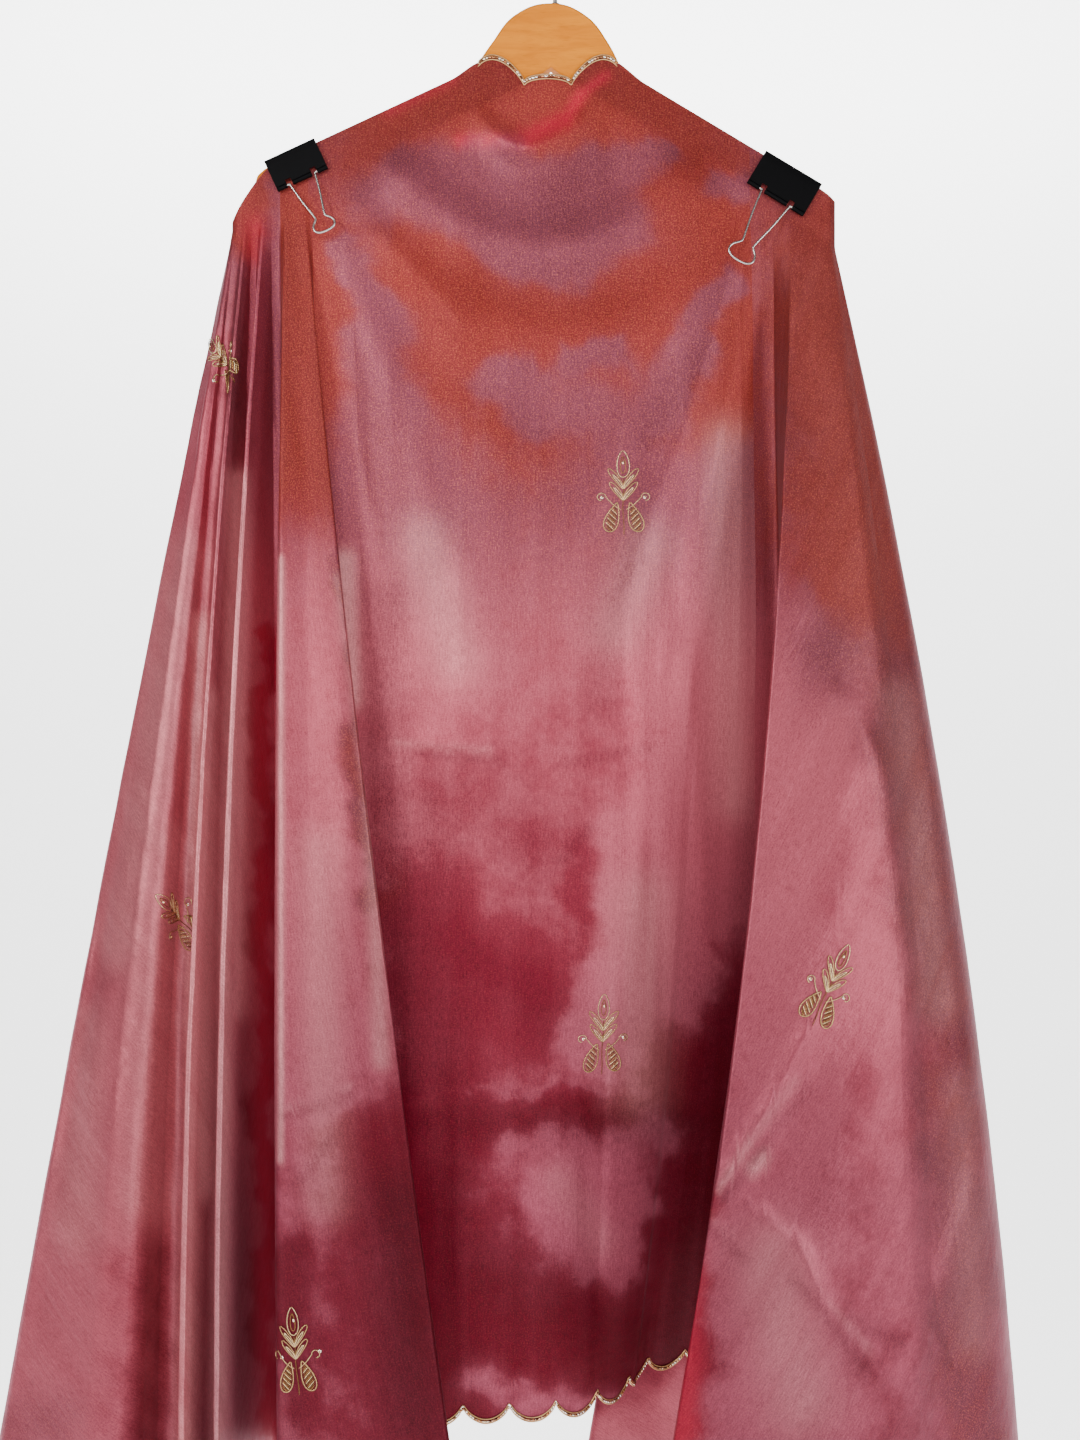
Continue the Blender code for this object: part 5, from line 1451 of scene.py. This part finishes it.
# hanger, hook and clips
hanger = {
    "thick": 0.0130,
    "ease": 0.0022,
    "lift": 0.0002,
    "tipHollow": 0.012,
    "domeTop": -0.075,
    "armDepth": 0.030,
    "tipDepth": 0.020,
    "hookWire": 0.0017,
    "hookInside": 0.0190,
    "hookStart": math.radians(-52),
    "hookSweep": math.radians(252),
    "hookFoot": 0.0004,  # over the dome
    "collar": [(-0.0006, 0.0042), (-0.0002, 0.0044), (0.0006, 0.0040), (0.0012, 0.0018)],  # height, radius
}


def woodMaterial():
    board = Board("varnishedBeech")
    where = board.objectPlace()
    grain = board.noise(board.stretched(where, 7.0, 60.0, 46.0), 3.0, 6.0, 0.65, distortion=0.8)
    flecks = board.noise(board.stretched(where, 60.0, 900.0, 700.0), 1.6, 2.0)
    stops = [(0.25, srgb(178, 98, 2)), (0.5, srgb(196, 114, 6)), (0.78, srgb(210, 130, 12))]
    colour = board.ramp(stops, grain)
    colour = board.mix(flecks.eased(0.60, 0.72) * 0.35, colour, srgb(150, 78, 4))
    return board.finish(board.principled({
        "Base Color": colour, "Roughness": 0.44 + 0.14 * grain, "Specular IOR Level": 0.12,
        "Normal": board.bump(grain + flecks * 0.4, 0.2, 0.0003)}))


def steelMaterial():
    board = Board("brightWire")
    where = board.objectPlace()
    drawn = board.noise(where, 900.0, 3.0, 0.6)
    dull = board.noise(where, 60.0, 3.0, 0.6)
    colour = board.mix(dull.eased(0.4, 0.75) * 0.4, srgb(186, 182, 176), srgb(112, 104, 96))
    return board.finish(board.principled({
        "Base Color": colour, "Metallic": 1.0, "Roughness": 0.20 + 0.10 * dull + 0.04 * drawn}))


def enamelMaterial():
    board = Board("blackEnamel")
    where = board.objectPlace()
    dust = board.noise(where, 420.0, 4.0, 0.7)
    wear = board.noise(where, 60.0, 4.0, 0.6)
    colour = board.mix(dust.eased(0.62, 0.80) * 0.25, srgb(2, 2, 3), srgb(20, 20, 22))
    return board.finish(board.principled({
        "Base Color": colour, "Roughness": 0.40 + 0.2 * wear, "Specular IOR Level": 0.06,
        "Normal": board.bump(wear, 0.12, 0.0004)}))


woodFinish, steelFinish, enamelFinish = woodMaterial(), steelMaterial(), enamelMaterial()


def woodOutline():
    left, right = hangerLines["leftTip"] + hanger["tipHollow"], hangerLines["rightTip"] - hanger["tipHollow"]
    neckLeft, neckRight, lift = hangerLines["neckLeft"], hangerLines["neckRight"], hanger["lift"]
    arm, tip = hanger["armDepth"], hanger["tipDepth"]
    # along the top from the left tip over the dome to the right tip, and back along the underside
    return [
        (left, armTop(left) + lift - 0.004, "AUTO"),
        (left + 0.006, armTop(left + 0.006) + lift, "VECTOR"),
        (neckLeft - 0.004, armTop(neckLeft - 0.004) + lift, "VECTOR"),
        (-0.0475, -0.1050, "AUTO"),
        (-0.0300, -0.0838, "AUTO"),
        (-0.0030, hanger["domeTop"], "AUTO"),
        (0.0225, -0.0838, "AUTO"),
        (0.0400, -0.1050, "AUTO"),
        (neckRight + 0.004, armTop(neckRight + 0.004) + lift, "VECTOR"),
        (right - 0.006, armTop(right - 0.006) + lift, "VECTOR"),
        (right, armTop(right) + lift - 0.004, "AUTO"),
        (right - 0.003, armTop(right) - tip, "AUTO"),
        (right - 0.016, armTop(right - 0.016) - tip - 0.002, "VECTOR"),
        (0.0650, armTop(0.0650) - arm, "AUTO"),
        (0.0120, -0.1350, "VECTOR"),
        (-0.0030, -0.1226, "VECTOR"),
        (-0.0225, -0.1370, "VECTOR"),
        (-0.0760, armTop(-0.0760) - arm, "AUTO"),
        (left + 0.016, armTop(left + 0.016) - tip - 0.002, "VECTOR"),
        (left + 0.003, armTop(left) - tip, "AUTO"),
    ]


def makeHanger():
    ease = hanger["ease"]
    curve = bpy.data.curves.new("woodOutline", "CURVE")
    curve.dimensions, curve.fill_mode, curve.resolution_u = "2D", "BOTH", 16
    curve.bevel_depth, curve.bevel_resolution = ease, 5
    curve.offset = -ease
    curve.extrude = hanger["thick"] / 2 - ease
    spline = curve.splines.new("BEZIER")
    outline = woodOutline()
    spline.bezier_points.add(len(outline) - 1)
    spline.use_cyclic_u = True
    for point, (x, z, kind) in zip(spline.bezier_points, outline):
        point.co = (x, z, 0)
        point.handle_left_type = point.handle_right_type = kind
    guide = inScene("woodOutline", curve)
    bpy.context.view_layer.update()
    mesh = bpy.data.meshes.new_from_object(guide.evaluated_get(bpy.context.evaluated_depsgraph_get()))
    bpy.data.objects.remove(guide)
    mesh.transform(Matrix.Rotation(math.radians(90), 4, "X"))
    mesh.materials.clear()
    shape = bmesh.new()
    shape.from_mesh(mesh)
    bmesh.ops.remove_doubles(shape, verts=shape.verts[:], dist=0.00002)
    for face in shape.faces:
        face.smooth = abs(face.normal.y) < 0.995
    shape.to_mesh(mesh)
    shape.free()
    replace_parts(newObject("woodenHanger", mesh, woodFinish), "hanger_wood")


def smoothPath(points, steps=6):
    # a curve through the points (Catmull-Rom)
    points = np.asarray(points, dtype=float)
    padded = np.concatenate(([2 * points[0] - points[1]], points, [2 * points[-1] - points[-2]]))
    result = []
    for k in range(1, len(padded) - 2):
        a, b, c, d = padded[k - 1:k + 3]
        for step in range(steps):
            t = step / steps
            result.append(0.5 * (2 * b + (c - a) * t + (2 * a - 5 * b + 4 * c - d) * t**2
                                 + (3 * b - a - 3 * c + d) * t**3))
    result.append(points[-1])
    return np.array(result)


def makeHook():
    radius = hanger["hookInside"] + hanger["hookWire"]
    centre, start = -hanger["hookInside"], hanger["hookStart"]
    foot = hanger["domeTop"] + hanger["hookFoot"]
    points = [(0.0, 0.0, foot - 0.003)] + [(0.0, 0.0, foot + k * 0.006) for k in range(3)]
    join = (radius * math.cos(start), 0.0, centre + radius * math.sin(start))
    first = points[-1][2]
    rise = join[2] - first
    for k in range(1, 6):
        share = k / 5
        points.append((join[0] * smooth(share) * (0.6 + 0.4 * share), 0.0, first + rise * share))
    for k in range(1, 25):
        angle = start + hanger["hookSweep"] * k / 24
        points.append((radius * math.cos(angle), 0.0, centre + radius * math.sin(angle)))
    path = smoothPath(points, 4)
    wire = Tubes(14)
    radii = np.full(len(path), hanger["hookWire"])
    radii[[0, -1]], radii[-2] = (0.0002, 0.0003), hanger["hookWire"] * 0.75
    wire.add(path, alike((0.0, 1.0, 0.0), len(path)), radii)
    rings = hanger["collar"]
    collar = np.array([(0.0, 0.0, foot + z) for z, _ in rings])
    wire.add(collar, alike((0.0, 1.0, 0.0), len(rings)), [size for _, size in rings])
    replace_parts(wire.object("swivelHook", steelFinish, "steel"), "hanger_hook")


clips = [
    # name, x on the arm, width, height of a face, handle length, neck width, loop width
    ("left", -0.1965, 0.041, 0.0200, 0.046, 0.0080, 0.0165),
    ("right", 0.1760, 0.0485, 0.0230, 0.058, 0.0100, 0.0205),
]
clipShape = {
    "sheet": 0.0007,
    "corner": 0.0016,
    "rimEase": 0.00018,
    "spineLift": 0.0030,
    "curlRadius": 0.0018,
    "wire": 0.0008,
    "legShare": 0.245,
    "slotHalf": 0.0022,
    "slotHeight": 0.0055,
    "pivot": 0.0060,
    "curlY": 0.0102,
    "frontLean": math.radians(9),
    "rearLean": math.radians(24),
}


def clipFrame(x):
    slope = -hangerLines["leftSlope"] if x < 0 else hangerLines["rightSlope"]
    return Matrix.Translation((x, 0, armTop(x))) @ Matrix.Rotation(math.atan(slope), 4, "Y")


def clipProfile(height, side):
    # from the spine's middle round its rim and down a face, as y and z with a rounded corner
    outer = clipShape["curlY"] + 0.0002 + clipShape["sheet"] / 2
    top = clipShape["spineLift"] + clipShape["sheet"] / 2
    corner = clipShape["corner"]
    points = [(0.0, top), (outer - corner, top)]
    for k in range(1, 7):
        angle = math.pi / 2 * k / 6
        points.append((outer - corner + corner * math.sin(angle), top - corner + corner * math.cos(angle)))
    points += [(outer + 0.0001, top - 0.006), (outer, 0.004 - height), (outer, 0.0014 - height)]
    return [(side * y, z) for y, z in points]


def addSheet(shape, profile, low, high, half):
    # a strip of sheet metal along x between low and high, through a profile in y and z
    rings = []
    for k, (y, z) in enumerate(profile):
        before, after = profile[max(0, k - 1)], profile[min(len(profile) - 1, k + 1)]
        way = Vector((0, after[0] - before[0], after[1] - before[1])).normalized()
        out = Vector((0, -way.z, way.y)) * half
        centre = Vector((0, y, z))
        rings.append([shape.verts.new(Vector((x, 0, 0)) + centre + out * side)
                      for x, side in ((low, 1), (high, 1), (high, -1), (low, -1))])
    for one, two in zip(rings, rings[1:]):
        for k in range(4):
            shape.faces.new((one[k], one[(k + 1) % 4], two[(k + 1) % 4], two[k]))
    shape.faces.new(rings[0])
    shape.faces.new(reversed(rings[-1]))


def addRoll(shape, low, high, y, z, radius, half):
    # a rolled edge along x, open in the middle
    rings = []
    for x in (low, high):
        for size in (radius, radius - 2 * half):
            rings.append([shape.verts.new((x, y + size * math.cos(a), z + size * math.sin(a)))
                          for a in (2 * math.pi * k / 20 for k in range(20))])
    for one, two in ((0, 2), (3, 1), (1, 0), (2, 3)):
        for k in range(20):
            n = (k + 1) % 20
            shape.faces.new((rings[one][k], rings[two][k], rings[two][n], rings[one][n]))


def makeClipBody(name, x, width, height):
    shape = bmesh.new()
    leg, slot, half = clipShape["legShare"] * width, clipShape["slotHalf"], clipShape["sheet"] / 2
    spans = ((-width / 2, -leg - slot), (slot - leg, leg - slot), (leg + slot, width / 2))
    for side in (-1, 1):
        profile = clipProfile(height, side)
        full = profile[:-1] + [(profile[-1][0], clipShape["slotHeight"] - height)]
        addSheet(shape, full, -width / 2, width / 2, half)
        for low, high in spans:
            tab = [(profile[-1][0], clipShape["slotHeight"] - height + 0.0002), profile[-1]]
            addSheet(shape, tab, low, high, half)
            addRoll(shape, low, high, side * clipShape["curlY"], -height, clipShape["curlRadius"], half * 0.8)
    bmesh.ops.recalc_face_normals(shape, faces=shape.faces[:])
    for face in shape.faces:
        face.smooth = True
    mesh = shapeMesh(name + "ClipBody", shape)
    mesh.transform(clipFrame(x))
    piece = newObject(name + "ClipBody", mesh, enamelFinish)
    rims = piece.modifiers.new("rims", "BEVEL")
    rims.width, rims.segments = clipShape["rimEase"], 2
    rims.limit_method, rims.angle_limit = "ANGLE", math.radians(50)
    rims.harden_normals = True
    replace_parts(piece, name + "_clip_body")


def handlePath(leg, length, neck, loop):
    half = [
        (leg + clipShape["pivot"], 0.0), (leg + 0.0012, 0.0), (leg + 0.0002, 0.0005), (leg, 0.0018),
        (leg * 0.55 + neck * 0.225, length * 0.38), (neck / 2, length * 0.70), (neck * 0.56, length * 0.76),
        (loop * 0.44, length * 0.83), (loop / 2, length * 0.90), (loop * 0.44, length * 0.955),
        (loop * 0.26, length * 0.99), (0.0, length),
    ]
    return [(-x, 0.0, -z) for x, z in half[:-1]] + [(x, 0.0, -z) for x, z in reversed(half)]


def makeHandles(row):
    name, x, width, height, length, neck, loop = row
    path = smoothPath(handlePath(clipShape["legShare"] * width, length, neck, loop), 6)
    for side, end, lean in ((-1, "front", clipShape["frontLean"]), (1, "rear", clipShape["rearLean"])):
        hinge = clipFrame(x) @ Matrix.Translation((0, side * clipShape["curlY"], -height))
        place = np.array(hinge @ Matrix.Rotation(side * lean, 4, "X"))
        moved = path @ place[:3, :3].T + place[:3, 3]
        wire = Tubes(10)
        wire.cord(moved, alike(place[:3, 1], len(moved)), clipShape["wire"])
        body = "%s_%s_handle" % (name, end)
        piece = wire.object("%sClip%sHandle" % (name, end.capitalize()), steelFinish, "steel", body)
        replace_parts(piece, "%s_clip_%s_handle" % (name, end))


makeHanger()
makeHook()
for row in clips:
    makeClipBody(*row[:4])
    makeHandles(row)
print("hanger, hook and clips: done")


# stage
view = {
    "place": frontEye,
    "lens": 38.325,  # on a 36 mm long side
}

studio = {
    # name, place, where it points, width, height, power, colour
    "lamps": [
        ("keyWindow", (-2.4, -2.7, 0.3), (0.0, 0.0, -0.7), 1.0, 1.8, 112, (1.0, 0.985, 0.96)),
        ("frontSky", (-0.3, -3.4, 0.2), (0.0, 0.0, -0.8), 2.2, 1.4, 60, (1.0, 0.97, 0.98)),
        ("rightFill", (2.6, -2.2, -0.6), (0.1, 0.0, -0.8), 1.0, 2.0, 84, (1.0, 0.98, 1.0)),
        ("paperWash", (0.0, 2.6, 2.0), (0.0, 3.8, -1.0), 5.0, 1.0, 300, (1.0, 1.0, 1.0)),
    ],
    "paper": srgb(246, 246, 246),
    "paperGlow": 1.16,
    "floorZ": -2.6,
    "floorFrom": -6.0,
    "wallY": 3.8,
    "wallTop": 5.0,
    "bend": 1.0,
    "sides": (-8.0, 8.0),
    "air": 0.26,
}


def paperMaterial():
    board = Board("studioPaper")
    grain = board.noise(board.objectPlace(), 40.0, 2.0)
    bright = board.mix(grain * 0.04, studio["paper"], (0.80, 0.80, 0.80))
    return board.finish(board.principled({
        "Base Color": bright, "Roughness": 0.9, "Emission Color": (1, 1, 1, 1),
        "Emission Strength": studio["paperGlow"]}))


def makeBackdrop():
    # floor, a wide bend and a wall in one sheet
    floorZ, wallY, bend = studio["floorZ"], studio["wallY"], studio["bend"]
    profile = [(studio["floorFrom"], floorZ), (wallY - bend, floorZ)]
    for k in range(1, 13):
        angle = math.pi / 2 * k / 12
        profile.append((wallY - bend + bend * math.sin(angle), floorZ + bend - bend * math.cos(angle)))
    profile.append((wallY, studio["wallTop"]))
    shape = bmesh.new()
    lines = [[shape.verts.new((x, y, z)) for y, z in profile] for x in studio["sides"]]
    for k in range(len(profile) - 1):
        shape.faces.new((lines[0][k], lines[1][k], lines[1][k + 1], lines[0][k + 1])).smooth = True
    mesh = shapeMesh("backdrop", shape)
    mesh.materials.append(paperMaterial())
    inScene("backdrop", mesh)


def makeLights():
    for name, place, target, width, height, power, colour in studio["lamps"]:
        lamp = bpy.data.lights.new(name, "AREA")
        lamp.shape = "RECTANGLE"
        lamp.size, lamp.size_y = width, height
        lamp.energy, lamp.color = power, colour
        made = inScene(name, lamp)
        made.location = place
        made.rotation_euler = (Vector(target) - Vector(place)).to_track_quat("-Z", "Y").to_euler()
    world = bpy.data.worlds.new("studioAir")
    world.use_nodes = True
    air = world.node_tree.nodes["Background"]
    air.inputs["Color"].default_value = (0.95, 0.96, 1.0, 1)
    air.inputs["Strength"].default_value = studio["air"]
    bpy.context.scene.world = world


def makeCamera():
    camera = bpy.data.cameras.new("view")
    camera.lens, camera.sensor_width, camera.sensor_fit = view["lens"], 36, "AUTO"
    made = inScene("view", camera)
    made.location = view["place"]
    made.rotation_euler = (math.pi / 2, 0, 0)
    bpy.context.scene.camera = made


makeBackdrop()
makeLights()
makeCamera()
print("stage: done")


def declareCloth():
    for piece, size, area in clothMade.values():
        width, length = min(size), max(size)
        min(area, 0.999 * width * length)


declareCloth()

bpy.context.view_layer.update()
